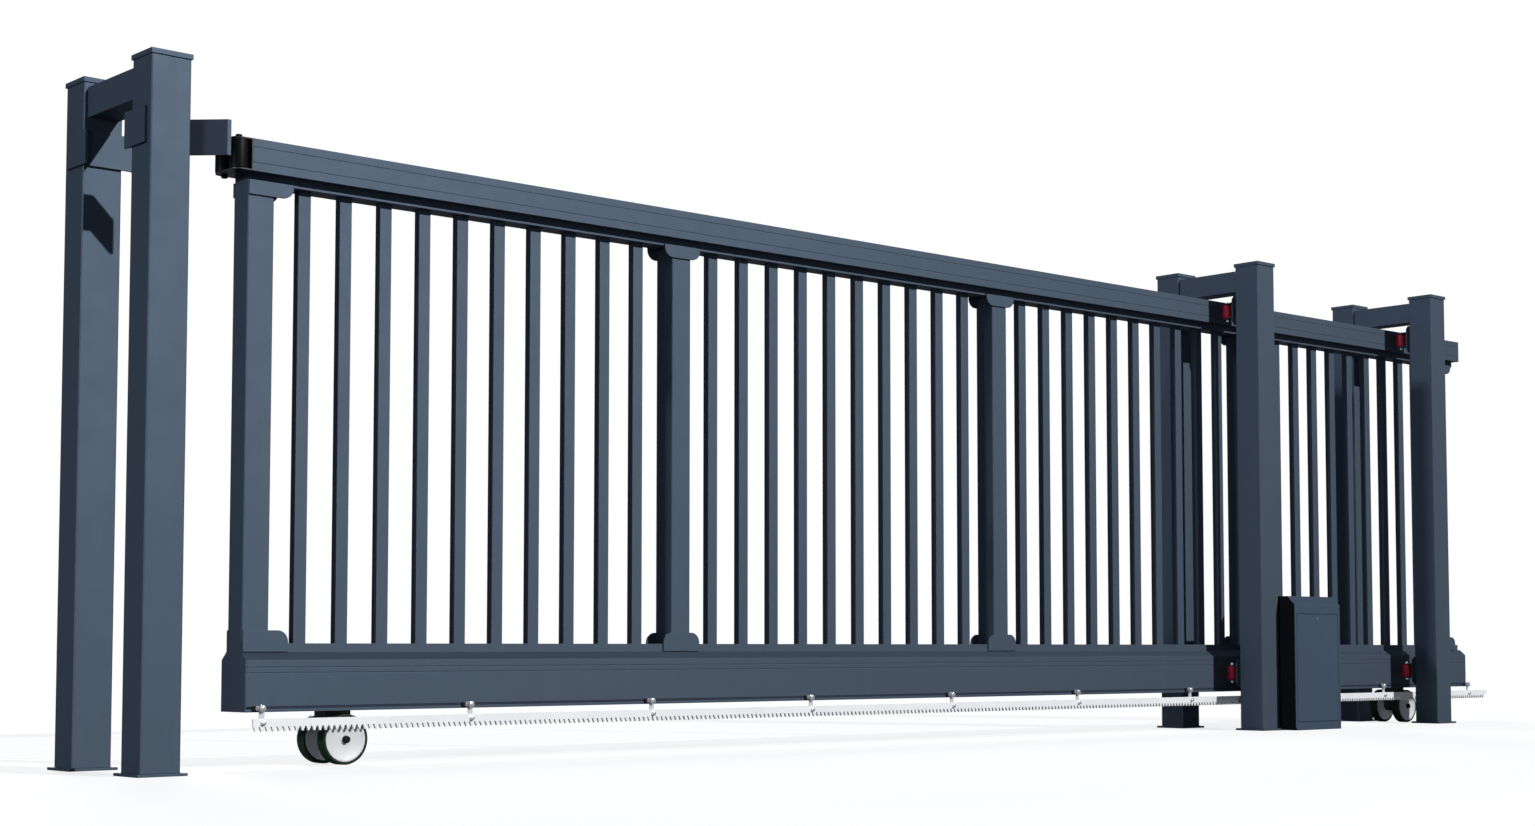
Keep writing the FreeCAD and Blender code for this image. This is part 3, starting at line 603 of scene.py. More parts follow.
def moulded_group():
    """Turned or moulded plastic and rubber: fine rings along one axis, scuffs, and a dusty film."""
    group, given, put = shader_group(
        "moulded",
        [("Vector", "Vector"), ("Plastic", "Color"), ("Scuffed", "Color"), ("Scuffs", "Float"),
         ("Roughness", "Float")],
        [("Color", "Color"), ("Roughness", "Float"), ("Relief", "Float")],
    )
    place = add_node(group, "ShaderNodeTexCoord").outputs["Object"]
    rings = noise(group, given["Vector"], RINGS)
    film = noise(group, place, FILM)
    scuffs = stepped(group, noise(group, place, SCUFFS), SCUFFS_SHOW)
    share = calculated(group, "MULTIPLY", film, FILM_PALES)
    share = calculated(group, "MULTIPLY_ADD", rings, RINGS_PALE, share)
    share = calculated(group, "ADD", share, calculated(group, "MULTIPLY", scuffs, SCUFFS_PALE))
    share = calculated(group, "MULTIPLY", share, given["Scuffs"])
    group.links.new(between(group, share, given["Plastic"], given["Scuffed"]), put["Color"])
    rough = calculated(group, "MULTIPLY_ADD", share, SCUFFS_DULL, given["Roughness"])
    group.links.new(rough, put["Roughness"])
    group.links.new(calculated(group, "MULTIPLY_ADD", scuffs, -SCUFFS_SINK, rings), put["Relief"])
    return group


moulded = moulded_group()


def plastic(name, colour, scuffed, scuffs, roughness, ring_axis, specular):
    """Moulded plastic or rubber, with its fine turning rings along one axis."""
    material, tree, shader = new_material(name)
    place = add_node(tree, "ShaderNodeTexCoord").outputs["Object"]
    scale = tuple(RINGS_ALONG if axis == ring_axis else RINGS_ACROSS for axis in "XYZ")
    body = coloured_by(tree, shader, moulded, [
        ("Vector", stretched(tree, place, scale)), ("Plastic", (*colour, 1)), ("Scuffed", (*scuffed, 1)),
        ("Scuffs", scuffs), ("Roughness", roughness),
    ])
    flat = add_node(tree, "ShaderNodeNewGeometry").outputs["Normal"]
    raised(tree, shader, body["Relief"], flat, RINGS_STRENGTH)
    shader.inputs["Specular IOR Level"].default_value = specular
    return material


def rounded_rim(radius, height, rounding, outwards):
    """Points of a quarter circle between a roller's end face and its side."""
    points = []
    for number in range(RIM_STEPS + 1):
        angle = math.radians(90 * number / RIM_STEPS)
        points.append((radius - rounding + rounding * math.sin(angle),
                       height + outwards * (rounding - rounding * math.cos(angle))))
    return points


def roller_in_place_of(node, rounding, steps=64):
    """A turned roller with rounded rims and a countersunk bore, of the node's size, on its axis."""
    low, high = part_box(node)
    radius, height = (high.x - low.x) / 2, high.z - low.z
    outline = [(ROLLER_BORE, BORE_SINK), (ROLLER_BORE + BORE_SINK, 0.0)]
    outline += rounded_rim(radius, 0.0, rounding, 1)
    outline += reversed(rounded_rim(radius, height, rounding, -1))
    outline += [(ROLLER_BORE + BORE_SINK, height), (ROLLER_BORE, height - BORE_SINK)]
    piece = turned(f"{node}_turned", outline, steps)
    return settled(piece, (middle(low.x, high.x), middle(low.y, high.y), low.z))


red_nylon = plastic(
    "red_nylon", RED, RED_SCUFFED, scuffs=0.10, roughness=0.44, ring_axis="Z", specular=0.14
)
for rollers in guide_rollers.values():
    for node in rollers:
        piece = roller_in_place_of(node, RIM_ROUNDING)
        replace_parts(finished(piece, red_nylon, node), node)

# Drive cabinet. A folded sheet steel housing over the motor, coated like the posts, with sides
# coloured near black as painted shade and a flush skirt at its foot. A small cam lock holds its
# lift-off front panel, which lies in a thin black rubber seal.

CABINET_PAINT = (0.060, 0.089, 0.130)
# Painted shade: the cabinet's side faces are coloured near black.
SIDE_SHADE_BLACK = (0.004, 0.005, 0.006)
SIDE_SHADE_TURN = 0.7
RUBBER_BLACK = (0.0025, 0.003, 0.004)
RUBBER_SCUFFED = (0.013, 0.013, 0.016)
PANEL_GAP = 0.0015
SEAL_WIDTH = 0.0021
SEAL_DEPTH = 0.0026
SEAL_PROUD = 0.0002
SKIRT_HEIGHT = 0.0100
SKIRT_WALL = 0.0030
SKIRT_START = 0.0750

cabinet_coat = coated("cabinet_coat", CABINET_PAINT, PAINT_PALE, clouding=0.14, runs=0.07)
cabinet_tree = cabinet_coat.node_tree
cabinet_shader = cabinet_tree.nodes["Principled BSDF"]
# Painted shade: faces that turn sideways are coloured near black.
normal = add_node(cabinet_tree, "ShaderNodeNewGeometry").outputs["Normal"]
sideways = add_node(cabinet_tree, "ShaderNodeSeparateXYZ", [(0, normal)]).outputs["X"]
sideways = calculated(cabinet_tree, "ABSOLUTE", sideways)
side_shade = calculated(cabinet_tree, "GREATER_THAN", sideways, SIDE_SHADE_TURN)
coat_colour = cabinet_shader.inputs["Base Color"].links[0].from_socket
side_shade_colour = between(cabinet_tree, side_shade, coat_colour, (*SIDE_SHADE_BLACK, 1))
cabinet_tree.links.new(side_shade_colour, cabinet_shader.inputs["Base Color"])
finish_nodes(["drive_cabinet", "cabinet_panel"], cabinet_coat)
panel_low, panel_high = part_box("cabinet_panel")
panel_face = panel_low.y


def rectangular_ring(name, width, depth, border, height):
    """A rectangular ring round the origin, from the ground up."""
    bpy.ops.object.select_all(action="DESELECT")
    bpy.ops.mesh.primitive_plane_add(size=1.0)
    ring = bpy.context.object
    ring.name = ring.data.name = name
    ring.scale = (width, depth, 1)
    settled(ring)
    edit_top(ring)
    bpy.ops.mesh.inset(thickness=border, depth=0.0)
    bpy.ops.mesh.delete(type="FACE")
    bpy.ops.mesh.select_all(action="SELECT")
    bpy.ops.mesh.extrude_region_move(TRANSFORM_OT_translate={"value": (0, 0, height)})
    bpy.ops.mesh.select_all(action="SELECT")
    bpy.ops.mesh.normals_make_consistent(inside=False)
    close_edit()
    return ring


seal_outside = PANEL_GAP + (SEAL_WIDTH - PANEL_GAP) / 2
seal = rectangular_ring(
    "panel_seal", panel_high.x - panel_low.x + 2 * seal_outside,
    panel_high.z - panel_low.z + 2 * seal_outside, SEAL_WIDTH, SEAL_DEPTH + SEAL_PROUD,
)
panel_centre = (middle(panel_low.x, panel_high.x), middle(panel_low.z, panel_high.z))
settled(seal, (panel_centre[0], panel_face + SEAL_DEPTH, panel_centre[1]), FACING_FRONT)
black_rubber = plastic(
    "black_rubber", RUBBER_BLACK, RUBBER_SCUFFED, scuffs=0.3, roughness=0.60, ring_axis="Y", specular=0.15
)
finished(seal, black_rubber, "portals")

housing_low, housing_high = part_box("drive_cabinet")
skirt = rectangular_ring(
    "cabinet_skirt", housing_high.x - SKIRT_START, housing_high.y - housing_low.y, SKIRT_WALL, SKIRT_HEIGHT
)
settled(skirt, (middle(SKIRT_START, housing_high.x), middle(housing_low.y, housing_high.y), 0.0))
finished(skirt, cabinet_coat, "portals")

# The lock and its key cover. An outline's steps go outwards and upwards from a radius.
LOCK_PLACE = (0.2318, 0.4675)
LOCK_RADIUS = 0.0038
LOCK_STEPS = (
    (0.0008, 0.0), (0.0006, 0.0003), (0.0, 0.0004),
    (-0.0003, 0.0008), (-0.0008, 0.0010), (-0.0014, 0.0008),
)
LOCK_FACE = 0.0007
LOCK_GREY = (0.17, 0.20, 0.24)
LOCK_TARNISHED = (0.10, 0.12, 0.15)
KEYWAY = (0.0009, 0.0034, 0.0010)
KEYWAY_LEVEL = 0.0009
KEY_COVER = (0.005, 0.014, 0.0008)
KEY_COVER_ROUNDING = 0.25
KEY_COVER_DROP = 0.018


def steps_from(radius, steps):
    """Points of an outline, from steps outwards and upwards."""
    return [(radius + outwards, upwards) for outwards, upwards in steps]


lock_outline = [(0.0, 0.0), *steps_from(LOCK_RADIUS, LOCK_STEPS), (0.0, LOCK_FACE)]
lock = turned("cabinet_lock", lock_outline, steps=40)
bpy.ops.object.select_all(action="DESELECT")
bpy.ops.mesh.primitive_cube_add(size=1.0)
keyway = bpy.context.object
keyway.scale = KEYWAY
settled(keyway, (0, 0, KEYWAY_LEVEL))
only(lock)
slit = lock.modifiers.new("keyway", "BOOLEAN")
slit.object = keyway
slit.operation = "DIFFERENCE"
slit.solver = "EXACT"
bpy.ops.object.modifier_apply(modifier="keyway")
bpy.data.objects.remove(keyway)
settled(lock, (LOCK_PLACE[0], panel_face, LOCK_PLACE[1]), FACING_FRONT)
lock_zinc = plated("lock_zinc", LOCK_GREY, LOCK_TARNISHED, share=0.5, roughness=0.42, metallic=0.4)
finished(lock, lock_zinc, "portals")

bpy.ops.object.select_all(action="DESELECT")
bpy.ops.mesh.primitive_cylinder_add(vertices=40, radius=1.0, depth=1.0)
key_cover = settled(bpy.context.object, (0, 0, 0.5))
edit_picked(key_cover, at_level(1.0))
bpy.ops.mesh.bevel(offset=KEY_COVER_ROUNDING, segments=3)
close_edit()
key_cover.scale = (KEY_COVER[0] / 2, KEY_COVER[1] / 2, KEY_COVER[2])
settled(key_cover)
settled(key_cover, (LOCK_PLACE[0], panel_face, LOCK_PLACE[1] - KEY_COVER_DROP), FACING_FRONT)
key_cover.name = key_cover.data.name = "lock_cover"
finished(key_cover, bracket_shade_coat, "portals")

# Bottom beam. A stepped hollow metal extrusion with two fine grooves and a T-slot low on each side,
# coated like the posts. Flat plates close its ends. A strip lies in each slot, coloured dark navy as
# painted shade of the slot, with a black rubber plug at its left mouth.

SLOT_LEVEL = 0.0125
PLUG_LENGTH = 0.030
PLUG_DEPTH = 0.0036
PLUG_HEIGHT = 0.0066
PLUG_PROUD = 0.0004
PLUG_ROUNDING = 0.0010
COVER_HEIGHT = 0.0068
COVER_THICKNESS = 0.0012
COVER_ROUNDING = 0.0003
COVER_INSET = 0.0014
COVER_IN_PLUG = 0.0005
# Painted shade: the slot strips are dark navy, which stands for the slot's shade.
SLOT_SHADE_NAVY = (0.012, 0.020, 0.037)
SLOT_SHADE_SCUFFED = (0.03, 0.04, 0.055)

finish_nodes(["bottom_beam", "beam_end_caps"], frame_coat)
beam_low, beam_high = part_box("bottom_beam")
slot_z = beam_low.z + SLOT_LEVEL


def rounded_block(name, size, rounding):
    """A block about the origin, with its edges rounded."""
    bpy.ops.object.select_all(action="DESELECT")
    bpy.ops.mesh.primitive_cube_add(size=1.0)
    block = bpy.context.object
    block.name = block.data.name = name
    block.scale = size
    settled(block)
    edit_picked(block, lambda edge: True)
    bpy.ops.mesh.bevel(offset=rounding, segments=3)
    close_edit()
    return block


plug_x = beam_low.x + PLUG_LENGTH / 2
plug_pattern = rounded_block("plug", (PLUG_LENGTH, PLUG_DEPTH, PLUG_HEIGHT), PLUG_ROUNDING)
slot_plugs = copies_at(
    plug_pattern, "slot_plugs",
    [(plug_x, beam_low.y + PLUG_DEPTH / 2 - PLUG_PROUD, slot_z),
     (plug_x, beam_high.y - PLUG_DEPTH / 2 + PLUG_PROUD, slot_z)],
)
finished(slot_plugs, black_rubber, "leaf")

cover_length = beam_high.x - beam_low.x - PLUG_LENGTH
cover_reach = COVER_INSET + COVER_THICKNESS / 2
cover_x = beam_low.x + PLUG_LENGTH + cover_length / 2 - COVER_IN_PLUG
cover_pattern = rounded_block("cover", (cover_length, COVER_THICKNESS, COVER_HEIGHT), COVER_ROUNDING)
slot_shade_covers = copies_at(
    cover_pattern, "slot_shade_covers",
    [(cover_x, beam_low.y + cover_reach, slot_z), (cover_x, beam_high.y - cover_reach, slot_z)],
)
slot_shade_strip = plastic(
    "slot_shade_strip", SLOT_SHADE_NAVY, SLOT_SHADE_SCUFFED, scuffs=0.25, roughness=0.55, ring_axis="Y", specular=0.2
)
finished(slot_shade_covers, slot_shade_strip, "leaf")

# Wheel trucks. Steel blocks and plates under the beam, each with a fixed cross axle, coloured near
# black: dark scale, with painted shade from the beam. Four hex screws hold a plate, and a black
# rubber cap closes each end of an axle.

# Near black: the steel's dark scale, with painted shade from the beam over it.
SCALE_BLACK_AND_SHADE = (0.016, 0.017, 0.020)
SCALE_WORN = (0.040, 0.042, 0.046)
SCREW_SPREAD = (0.049, 0.020)
TRUCK_SCREW = (0.013, 0.0055, 0.0088, 0.0012)
PLATE_DROP = 0.026
AXLE_PROUD = 0.009
AXLE_CAP_GAP = 0.0006
AXLE_CAP_RADIUS = 0.0103
AXLE_CAP_PROUD = 0.0016
DIMPLE_RADII = (0.0022, 0.0028)
DIMPLE_DEPTH = 0.0012
CAP_FACE_RADIUS = 0.0082
CAP_SHOULDER = (0.0096, 0.0005)
CAP_SIDE_DROP = 0.0018
CAP_LIP = (0.0009, 0.0008)

truck_steel = plated("truck_steel", SCALE_BLACK_AND_SHADE, SCALE_WORN, share=0.6, roughness=0.46, metallic=0.1)
finish_nodes(["wheel_trucks"], truck_steel)
truck_low, truck_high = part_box("wheel_trucks")
truck_y = middle(truck_low.y, truck_high.y)
axles = [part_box(f"{side}_wheels") for side in ("left", "right")]
axles = [(middle(low.x, high.x), middle(low.z, high.z)) for low, high in axles]

screw_places = [
    (x + across * SCREW_SPREAD[0], truck_y + along * SCREW_SPREAD[1], beam_low.z - PLATE_DROP)
    for x, _ in axles for across in (-1, 1) for along in (-1, 1)
]
truck_screws = copies_at(hex_head(*TRUCK_SCREW), "truck_screws", screw_places, UPSIDE_DOWN)
finished(truck_screws, truck_steel, "leaf")

cap_foot = AXLE_CAP_GAP - AXLE_PROUD
cap_outline = [
    (0.0, AXLE_CAP_PROUD - DIMPLE_DEPTH), (DIMPLE_RADII[0], AXLE_CAP_PROUD - DIMPLE_DEPTH),
    (DIMPLE_RADII[1], AXLE_CAP_PROUD), (CAP_FACE_RADIUS, AXLE_CAP_PROUD),
    (CAP_SHOULDER[0], AXLE_CAP_PROUD - CAP_SHOULDER[1]), (AXLE_CAP_RADIUS, AXLE_CAP_PROUD - CAP_SIDE_DROP),
    (AXLE_CAP_RADIUS, cap_foot + CAP_LIP[1]), (AXLE_CAP_RADIUS + CAP_LIP[0], cap_foot), (0.0, cap_foot),
]
near_cap = turned("axle_cap", cap_outline, steps=40)
far_cap = copy_of(near_cap, "far_cap")
axle_caps = joined(
    [
        copies_at(near_cap, "near_caps", [(x, truck_low.y, z) for x, z in axles], FACING_FRONT),
        copies_at(far_cap, "far_caps", [(x, truck_high.y, z) for x, z in axles], FACING_REAR),
    ],
    "axle_caps",
)
finished(axle_caps, black_rubber, "leaf")

# Wheels. Pale cast metal discs on the trucks' axles, machined on their faces, each with a dark
# green polyurethane tread bonded round it.

WHEEL_WIDTH = 0.038
WHEEL_RADIUS = 0.075
DISC_RADIUS = 0.0665
AXLE_BORE = 0.00956
TREAD_FOOT = ((-0.001, 0.0012), (0.0004, 0.0002), (0.0010, 0.0))
TREAD_SHOULDER = ((-0.0030, 0.0), (-0.0014, 0.0006), (-0.0004, 0.0018), (0.0, 0.0036))
DISC_HUB = ((0.0, 0.0014), (0.0006, 0.0008))
DISC_FACE = ((0.0165, 0.0008), (0.0172, 0.0014), (0.0580, 0.0014), (0.0592, 0.0008))
DISC_RIM = ((-0.0008, 0.0008), (0.0, 0.0016))
TREAD_GREEN = (0.006, 0.021, 0.008)
TREAD_WORN = (0.014, 0.034, 0.016)
DISC_PALE = (0.63, 0.635, 0.635)
DISC_DULL_AND_SHADE = (0.46, 0.475, 0.49)

# Patterns on machined metal, as spots to the metre and detail, then where and how much they show.
CUTTER_MARKS = (900.0, 2.0)
CUTTER_BANDS = (130.0, 2.0)
CUTTER_DULLS = 0.16
STAINS = (34.0, 6.0)
STAINS_SHOW = (0.42, 0.80)
STAINS_DULL = 0.26
# Painted shade: darker bands on the disc beside the tread and round the hub.
RIM_SHADE = 0.006
HUB_SHADE = 0.007
PAINTED_SHADE_SHARE = 0.5
MACHINED_ROUGHNESS = 0.46
MACHINED_SPREAD = 0.12
MACHINED_STRENGTH = 0.12
MACHINED_DEPTH = 0.0001
MACHINED_METALLIC = 0.1


def machined_group():
    """A face turned about the Y axis through Vector's origin: fine rings, stains, and darker bands at the
    rim and round the hub that are painted shade.
    """
    group, given, put = shader_group(
        "machined",
        [("Vector", "Vector"), ("Metal", "Color"), ("Dull And Shade", "Color"), ("Rim", "Float"), ("Hub", "Float")],
        [("Color", "Color"), ("Roughness", "Float"), ("Relief", "Float")],
    )
    flat = add_node(
        group, "ShaderNodeVectorMath", [(0, given["Vector"]), (1, (1, 0, 1))], operation="MULTIPLY"
    ).outputs[0]
    radius = add_node(group, "ShaderNodeVectorMath", [(0, flat)], operation="LENGTH").outputs["Value"]
    line = add_node(group, "ShaderNodeCombineXYZ", [("X", radius)]).outputs[0]
    rings = noise(group, line, CUTTER_MARKS)
    bands = noise(group, line, CUTTER_BANDS)
    stains = stepped(group, noise(group, given["Vector"], STAINS), STAINS_SHOW)
    rim = stepped(group, radius, (calculated(group, "SUBTRACT", given["Rim"], RIM_SHADE), given["Rim"]))
    hub = stepped(group, radius, (calculated(group, "ADD", given["Hub"], HUB_SHADE), given["Hub"]))
    share = calculated(group, "MULTIPLY", bands, CUTTER_DULLS)
    share = calculated(group, "MULTIPLY_ADD", rings, CUTTER_DULLS, share)
    share = calculated(group, "MULTIPLY_ADD", stains, STAINS_DULL, share)
    share = calculated(group, "MULTIPLY_ADD", calculated(group, "MAXIMUM", rim, hub), PAINTED_SHADE_SHARE, share)
    group.links.new(between(group, share, given["Metal"], given["Dull And Shade"]), put["Color"])
    rough = calculated(group, "MULTIPLY_ADD", rings, MACHINED_SPREAD, MACHINED_ROUGHNESS)
    group.links.new(rough, put["Roughness"])
    group.links.new(rings, put["Relief"])
    return group


machined = machined_group()


def machined_face(name, axle):
    """Bare machined metal, turned about one axle."""
    material, tree, shader = new_material(name)
    place = add_node(tree, "ShaderNodeTexCoord").outputs["Object"]
    face = coloured_by(tree, shader, machined, [
        ("Vector", stretched(tree, place, (1, 1, 1), (-axle[0], 0, -axle[1]))), ("Metal", (*DISC_PALE, 1)),
        ("Dull And Shade", (*DISC_DULL_AND_SHADE, 1)), ("Rim", DISC_RADIUS), ("Hub", AXLE_CAP_RADIUS),
    ])
    flat = add_node(tree, "ShaderNodeNewGeometry").outputs["Normal"]
    raised(tree, shader, face["Relief"], flat, MACHINED_STRENGTH, MACHINED_DEPTH)
    shader.inputs["Metallic"].default_value = MACHINED_METALLIC
    return material


def mirrored_outline(half):
    """A closed outline that is the same at both ends of a wheel."""
    return half + [(radius, WHEEL_WIDTH - height) for radius, height in reversed(half)]


tread_outline = mirrored_outline(
    steps_from(DISC_RADIUS, TREAD_FOOT) + steps_from(WHEEL_RADIUS, TREAD_SHOULDER)
)
disc_outline = mirrored_outline(
    steps_from(AXLE_BORE, DISC_HUB) + list(DISC_FACE) + steps_from(DISC_RADIUS, DISC_RIM)
)
tread_rubber = plastic(
    "tread_rubber", TREAD_GREEN, TREAD_WORN, scuffs=0.30, roughness=0.5, ring_axis="Y", specular=0.15
)
for side, axle in zip(("left", "right"), axles):
    node = f"{side}_wheels"
    low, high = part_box(node)
    places = [(axle[0], low.y, axle[1]), (axle[0], high.y - WHEEL_WIDTH, axle[1])]
    treads = copies_at(turned("tread", tread_outline, steps=96), f"{side}_treads", places, FACING_REAR)
    discs = copies_at(turned("disc", disc_outline, steps=96), f"{side}_discs", places, FACING_REAR)
    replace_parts(finished(treads, tread_rubber, node), node)
    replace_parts(finished(discs, machined_face(f"{side}_disc_metal", axle), node), node)

# Toothed rack. Milled flat steel bar, zinc plated, under the beam's front edge. Ten plated steel
# straps carry it: a hex bolt in the beam's slot holds each at its top, beside a clamp block with a
# black rubber foot, and a smaller bolt goes through the rack.

RACK_ZINC = (0.80, 0.81, 0.805)
RACK_TARNISHED = (0.63, 0.645, 0.65)
LUG_ZINC = (0.60, 0.615, 0.635)
LUG_TARNISHED = (0.40, 0.415, 0.435)
CLAMP_GREY = (0.22, 0.23, 0.245)
CLAMP_TARNISHED = (0.12, 0.125, 0.135)
LUG_HALF_WIDTH = 0.0085
LUG_PITCH = 0.712
LUG_COUNT = 10
SLOT_BOLT = (0.0185, 0.0080, 0.0102, 0.0016)
SLOT_BOLT_LEVEL = 0.0100
RACK_BOLT = (0.0125, 0.0055, 0.0085, 0.0012)
RACK_BOLT_LEVEL = 0.1290
CLAMP_SIZE = (0.012, 0.009, 0.0145)
CLAMP_ROUNDING = 0.0022
CLAMP_OFFSET = (0.0150, 0.001)
CLAMP_FOOT_SIZE = (0.010, 0.0055, 0.0165)
CLAMP_FOOT_ROUNDING = 0.0018
CLAMP_FOOT_OFFSET = (0.0255, 0.0025)
IN_SLOT = 0.001

rack_zinc = plated("rack_zinc", RACK_ZINC, RACK_TARNISHED, share=0.45, roughness=0.48, metallic=0.10)
lug_zinc = plated("lug_zinc", LUG_ZINC, LUG_TARNISHED, share=0.5, roughness=0.40, metallic=0.25)
finish_nodes(["gear_rack"], rack_zinc)
finish_nodes(["rack_lugs"], lug_zinc)
lug_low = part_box("rack_lugs")[0]
rack_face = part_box("gear_rack")[0].y
lug_x = [lug_low.x + LUG_HALF_WIDTH + LUG_PITCH * number for number in range(LUG_COUNT)]

slot_bolt_places = [(x, lug_low.y, beam_low.z + SLOT_BOLT_LEVEL) for x in lug_x]
slot_bolts = copies_at(hex_head(*SLOT_BOLT), "slot_bolts", slot_bolt_places, FACING_FRONT)
finished(slot_bolts, bright_zinc, "leaf")
rack_bolt_places = [(x, rack_face, RACK_BOLT_LEVEL) for x in lug_x]
rack_bolts = copies_at(hex_head(*RACK_BOLT), "rack_bolts", rack_bolt_places, FACING_FRONT)
finished(rack_bolts, bright_zinc, "leaf")


def beside_lugs(size, offset):
    """Places at the beam's front slot, left of each lug and a little below the slot's middle."""
    y = beam_low.y - size[1] / 2 + IN_SLOT
    return [(x - offset[0], y, slot_z - offset[1]) for x in lug_x]


clamps = copies_at(
    rounded_block("clamp", CLAMP_SIZE, CLAMP_ROUNDING), "slot_clamps",
    beside_lugs(CLAMP_SIZE, CLAMP_OFFSET),
)
clamp_steel = plated("clamp_steel", CLAMP_GREY, CLAMP_TARNISHED, share=0.6, roughness=0.5, metallic=0.3)
finished(clamps, clamp_steel, "leaf")
clamp_feet = copies_at(
    rounded_block("foot", CLAMP_FOOT_SIZE, CLAMP_FOOT_ROUNDING), "slot_clamp_feet",
    beside_lugs(CLAMP_FOOT_SIZE, CLAMP_FOOT_OFFSET),
)
finished(clamp_feet, black_rubber, "leaf")

# Leaf posts. Five steel tubes that join the beam to the top rail. Flat steel plates with rounded
# free corners lie over every joint, front and rear, welded along their edges and coated with it.

finish_nodes([f"leaf_post_{number}" for number in range(1, 6)], frame_coat)
finish_nodes(["foot_gussets", "head_gussets"], frame_coat)

# Bars. Ten rectangular steel tubes in each of the four bays, standing on the beam with their heads
# held by the rail's strip. They are coated like the posts.

finish_nodes([f"bars_bay_{number}" for number in range(1, 5)], frame_coat)

# Top rail. A hollow metal extrusion with two fine grooves a side, over the narrower strip that
# holds the heads of the bars, coated like the posts. A flat plate closes its right end, and thin
# welded plates the strip's ends.

STRIP_DEPTH = 0.0750
STRIP_HEIGHT = 0.0260
STRIP_SETBACK = 0.0100
STRIP_PLATE = 0.0016
STRIP_PLATE_PROUD = 0.0003
STRIP_PLATE_TRIM = 0.0002
STRIP_PLATE_ROUNDING = 0.0003

finish_nodes(["top_rail", "rail_end_cap"], frame_coat)
rail_low, rail_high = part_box("top_rail")
strip_centre = (middle(rail_low.y, rail_high.y), rail_low.z + STRIP_HEIGHT / 2)
strip_reach = STRIP_PLATE / 2 - STRIP_PLATE_PROUD
strip_ends = (rail_low.x + strip_reach, rail_high.x - STRIP_SETBACK - strip_reach)
strip_plate_size = (STRIP_PLATE, STRIP_DEPTH - STRIP_PLATE_TRIM, STRIP_HEIGHT - STRIP_PLATE_TRIM)
strip_caps = copies_at(
    rounded_block("strip_plate", strip_plate_size, STRIP_PLATE_ROUNDING), "strip_end_plates",
    [(x, *strip_centre) for x in strip_ends],
)
finished(strip_caps, frame_coat, "leaf")

# Leading bracket. A black-coated steel end plate with two shelves, which holds two upright
# rollers between them. The rollers are turned from black nylon, and a black bolt goes through each.

BLACK_COAT = (0.014, 0.0145, 0.016)
BLACK_COAT_PALE = (0.06, 0.062, 0.066)
NYLON_BLACK = (0.0030, 0.0032, 0.0036)
NYLON_SCUFFED = (0.012, 0.012, 0.013)
LEAD_RIM_ROUNDING = 0.0025
LEAD_BOLT = (0.0165, 0.0085, 0.0100, 0.0012)

black_coat = coated("black_coat", BLACK_COAT, BLACK_COAT_PALE, clouding=0.12, roughness=0.45, metallic=0.0)
finish_nodes(["lead_bracket"], black_coat)
black_nylon = plastic(
    "black_nylon", NYLON_BLACK, NYLON_SCUFFED, scuffs=0.3, roughness=0.42, ring_axis="Z", specular=0.12
)
lead_rollers = [f"lead_roller_{side}" for side in sides]
for node in lead_rollers:
    piece = roller_in_place_of(node, LEAD_RIM_ROUNDING, steps=80)
    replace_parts(finished(piece, black_nylon, node), node)
bracket_low, bracket_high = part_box("lead_bracket")
roller_low, roller_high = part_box(lead_rollers[0])
over = spots_outside(lead_rollers, True, bracket_high.z - roller_high.z)
under = spots_outside(lead_rollers, False, roller_low.z - bracket_low.z)
upper = copies_at(hex_head(*LEAD_BOLT), "upper_lead_bolts", over)
lower = copies_at(hex_head(*LEAD_BOLT), "lower_lead_bolts", under, UPSIDE_DOWN)
finished(joined([upper, lower], "lead_bolts"), black_nylon, "leaf")

# Studio. A pale floor that keeps a soft shadow, and a white background. The key lamp stands high
# in front on the right, two others far off on the left, and a broad one behind on the right. A weak
# one beside the camera fills the shaded wheels and rollers. The sky is plain and weak.

FLOOR_SIZE = 400.0
FLOOR_SEEN = 0.92
FLOOR_LIT = 0.12
FLOOR_ROUGHNESS = 0.9
FLOOR_WHITE_SHARE = 0.76
SKY_STRENGTH = 0.13
SKY_COLOUR = (0.58, 0.72, 1.0)
WHITE = (1, 1, 1, 1)

# Each lamp's name, the way its light travels, its strength, its breadth in degrees and its colour.
LAMPS = (
    ("key", (-0.385, 1.0, -0.615), 3.5, 0.8, (1.0, 1.0, 1.0)),
    ("left", (1.0, 0.02, -0.34), 1.35, 3.5, (0.86, 0.89, 1.0)),
    ("left_front", (1.0, 0.12, -0.25), 0.45, 5.0, (0.86, 0.89, 1.0)),
    ("fill", (0.75, 0.66, -0.03), 0.65, 10.0, (0.85, 0.90, 1.0)),
    ("back", (-0.40, -1.0, -0.55), 2.8, 20.0, (1.0, 1.0, 1.0)),
)

bpy.ops.object.select_all(action="DESELECT")
bpy.ops.mesh.primitive_plane_add(size=FLOOR_SIZE)
floor = bpy.context.object
floor.name = "floor"
floor_material, floor_tree, floor_shader = new_material("floor")
seen = add_node(floor_tree, "ShaderNodeLightPath").outputs["Is Camera Ray"]
level = calculated(floor_tree, "MULTIPLY_ADD", seen, FLOOR_SEEN - FLOOR_LIT, FLOOR_LIT)
floor_tree.links.new(level, floor_shader.inputs["Base Color"])
floor_shader.inputs["Roughness"].default_value = FLOOR_ROUGHNESS
floor_shader.inputs["Specular IOR Level"].default_value = 0.0
white = add_node(floor_tree, "ShaderNodeEmission", [("Color", WHITE), ("Strength", 1.0)])
share = calculated(floor_tree, "MULTIPLY", seen, FLOOR_WHITE_SHARE)
blend = add_node(
    floor_tree, "ShaderNodeMixShader",
    [(0, share), (1, floor_shader.outputs["BSDF"]), (2, white.outputs["Emission"])],
)
floor_tree.links.new(blend.outputs[0], floor_tree.nodes["Material Output"].inputs["Surface"])
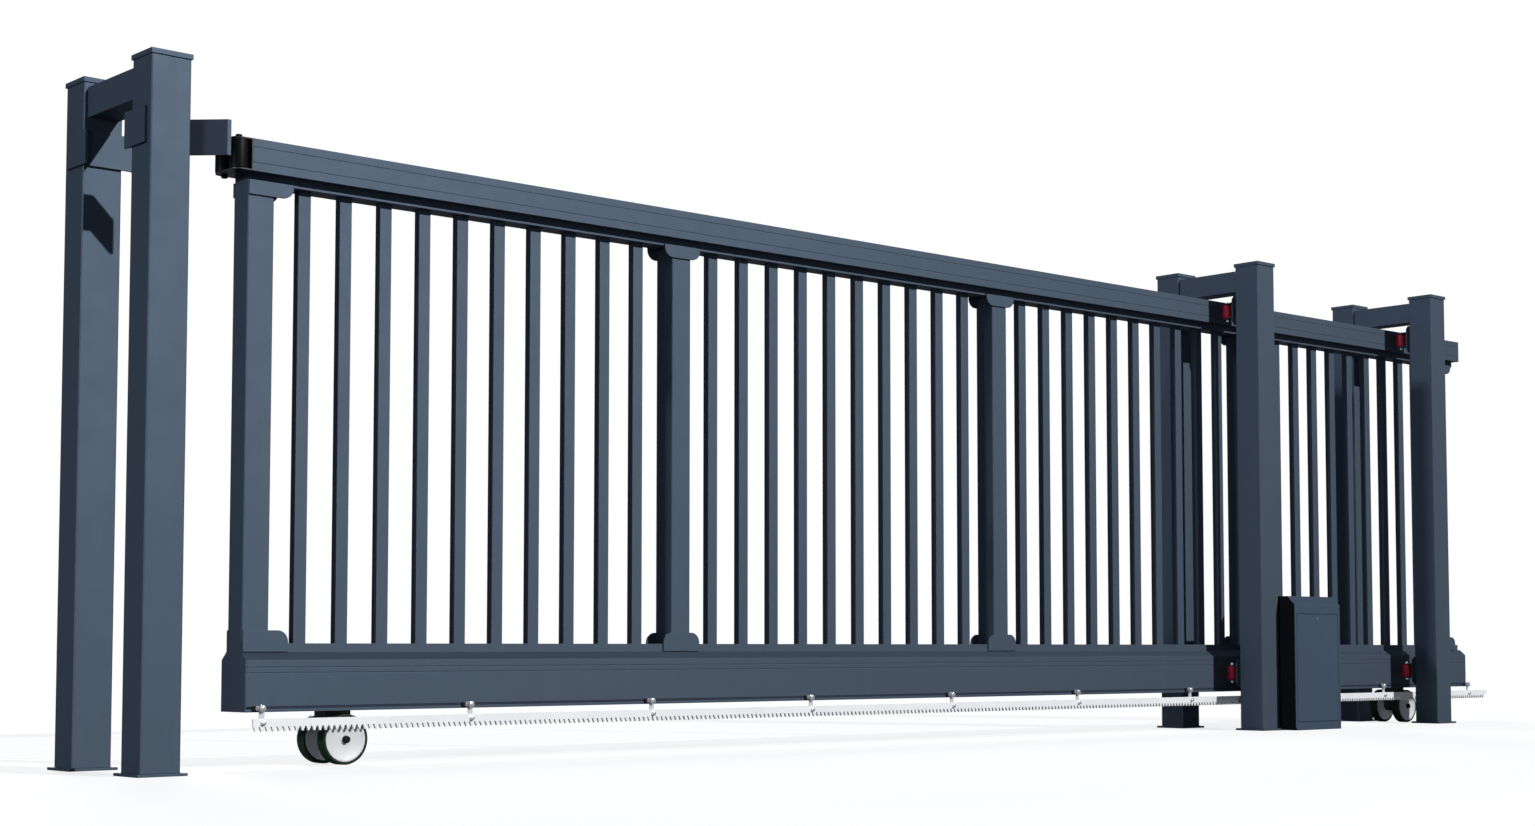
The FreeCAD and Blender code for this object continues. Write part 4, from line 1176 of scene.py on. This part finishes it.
floor.data.materials.append(floor_material)
floor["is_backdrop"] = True

world = bpy.data.worlds.new("sky")
bpy.context.scene.world = world
world.use_nodes = True
sky_tree = world.node_tree
sky = sky_tree.nodes["Background"]
sky.inputs["Color"].default_value = (*SKY_COLOUR, 1)
sky.inputs["Strength"].default_value = SKY_STRENGTH
backdrop = add_node(sky_tree, "ShaderNodeBackground", [("Color", WHITE), ("Strength", 1.0)])
seen = add_node(sky_tree, "ShaderNodeLightPath").outputs["Is Camera Ray"]
sky_mix = add_node(
    sky_tree, "ShaderNodeMixShader",
    [(0, seen), (1, sky.outputs["Background"]), (2, backdrop.outputs["Background"])],
)
sky_tree.links.new(sky_mix.outputs[0], sky_tree.nodes["World Output"].inputs["Surface"])

for name, travel, strength, breadth, colour in LAMPS:
    lamp_data = bpy.data.lights.new(name, "SUN")
    lamp_data.energy = strength
    lamp_data.angle = math.radians(breadth)
    lamp_data.color = colour
    lamp = bpy.data.objects.new(name, lamp_data)
    lamp.rotation_euler = Vector(travel).to_track_quat("-Z", "Y").to_euler()
    bpy.context.scene.collection.objects.link(lamp)

# Camera. It stands at the photograph's place, low on the left in front, turned by degrees about
# X, Y and Z. Its shift is only what the photograph's frame needs.

CAMERA_PLACE = (-7.769, -5.692, 0.336)
CAMERA_TURN = (93.48, 0.063, -42.63)
CAMERA_SENSOR = 36.0
CAMERA_LENS = 52.60
CAMERA_SHIFT = (-0.0321, 0.0658)
CAMERA_SIGHT = 500.0

camera_data = bpy.data.cameras.new("camera")
camera_data.sensor_width = CAMERA_SENSOR
camera_data.lens = CAMERA_LENS
camera_data.shift_x, camera_data.shift_y = CAMERA_SHIFT
camera_data.clip_end = CAMERA_SIGHT
camera = bpy.data.objects.new("camera", camera_data)
camera.location = CAMERA_PLACE
camera.rotation_euler = [math.radians(degrees) for degrees in CAMERA_TURN]
bpy.context.scene.collection.objects.link(camera)
bpy.context.scene.camera = camera

bpy.context.scene.view_settings.view_transform = "Standard"

low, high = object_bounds()
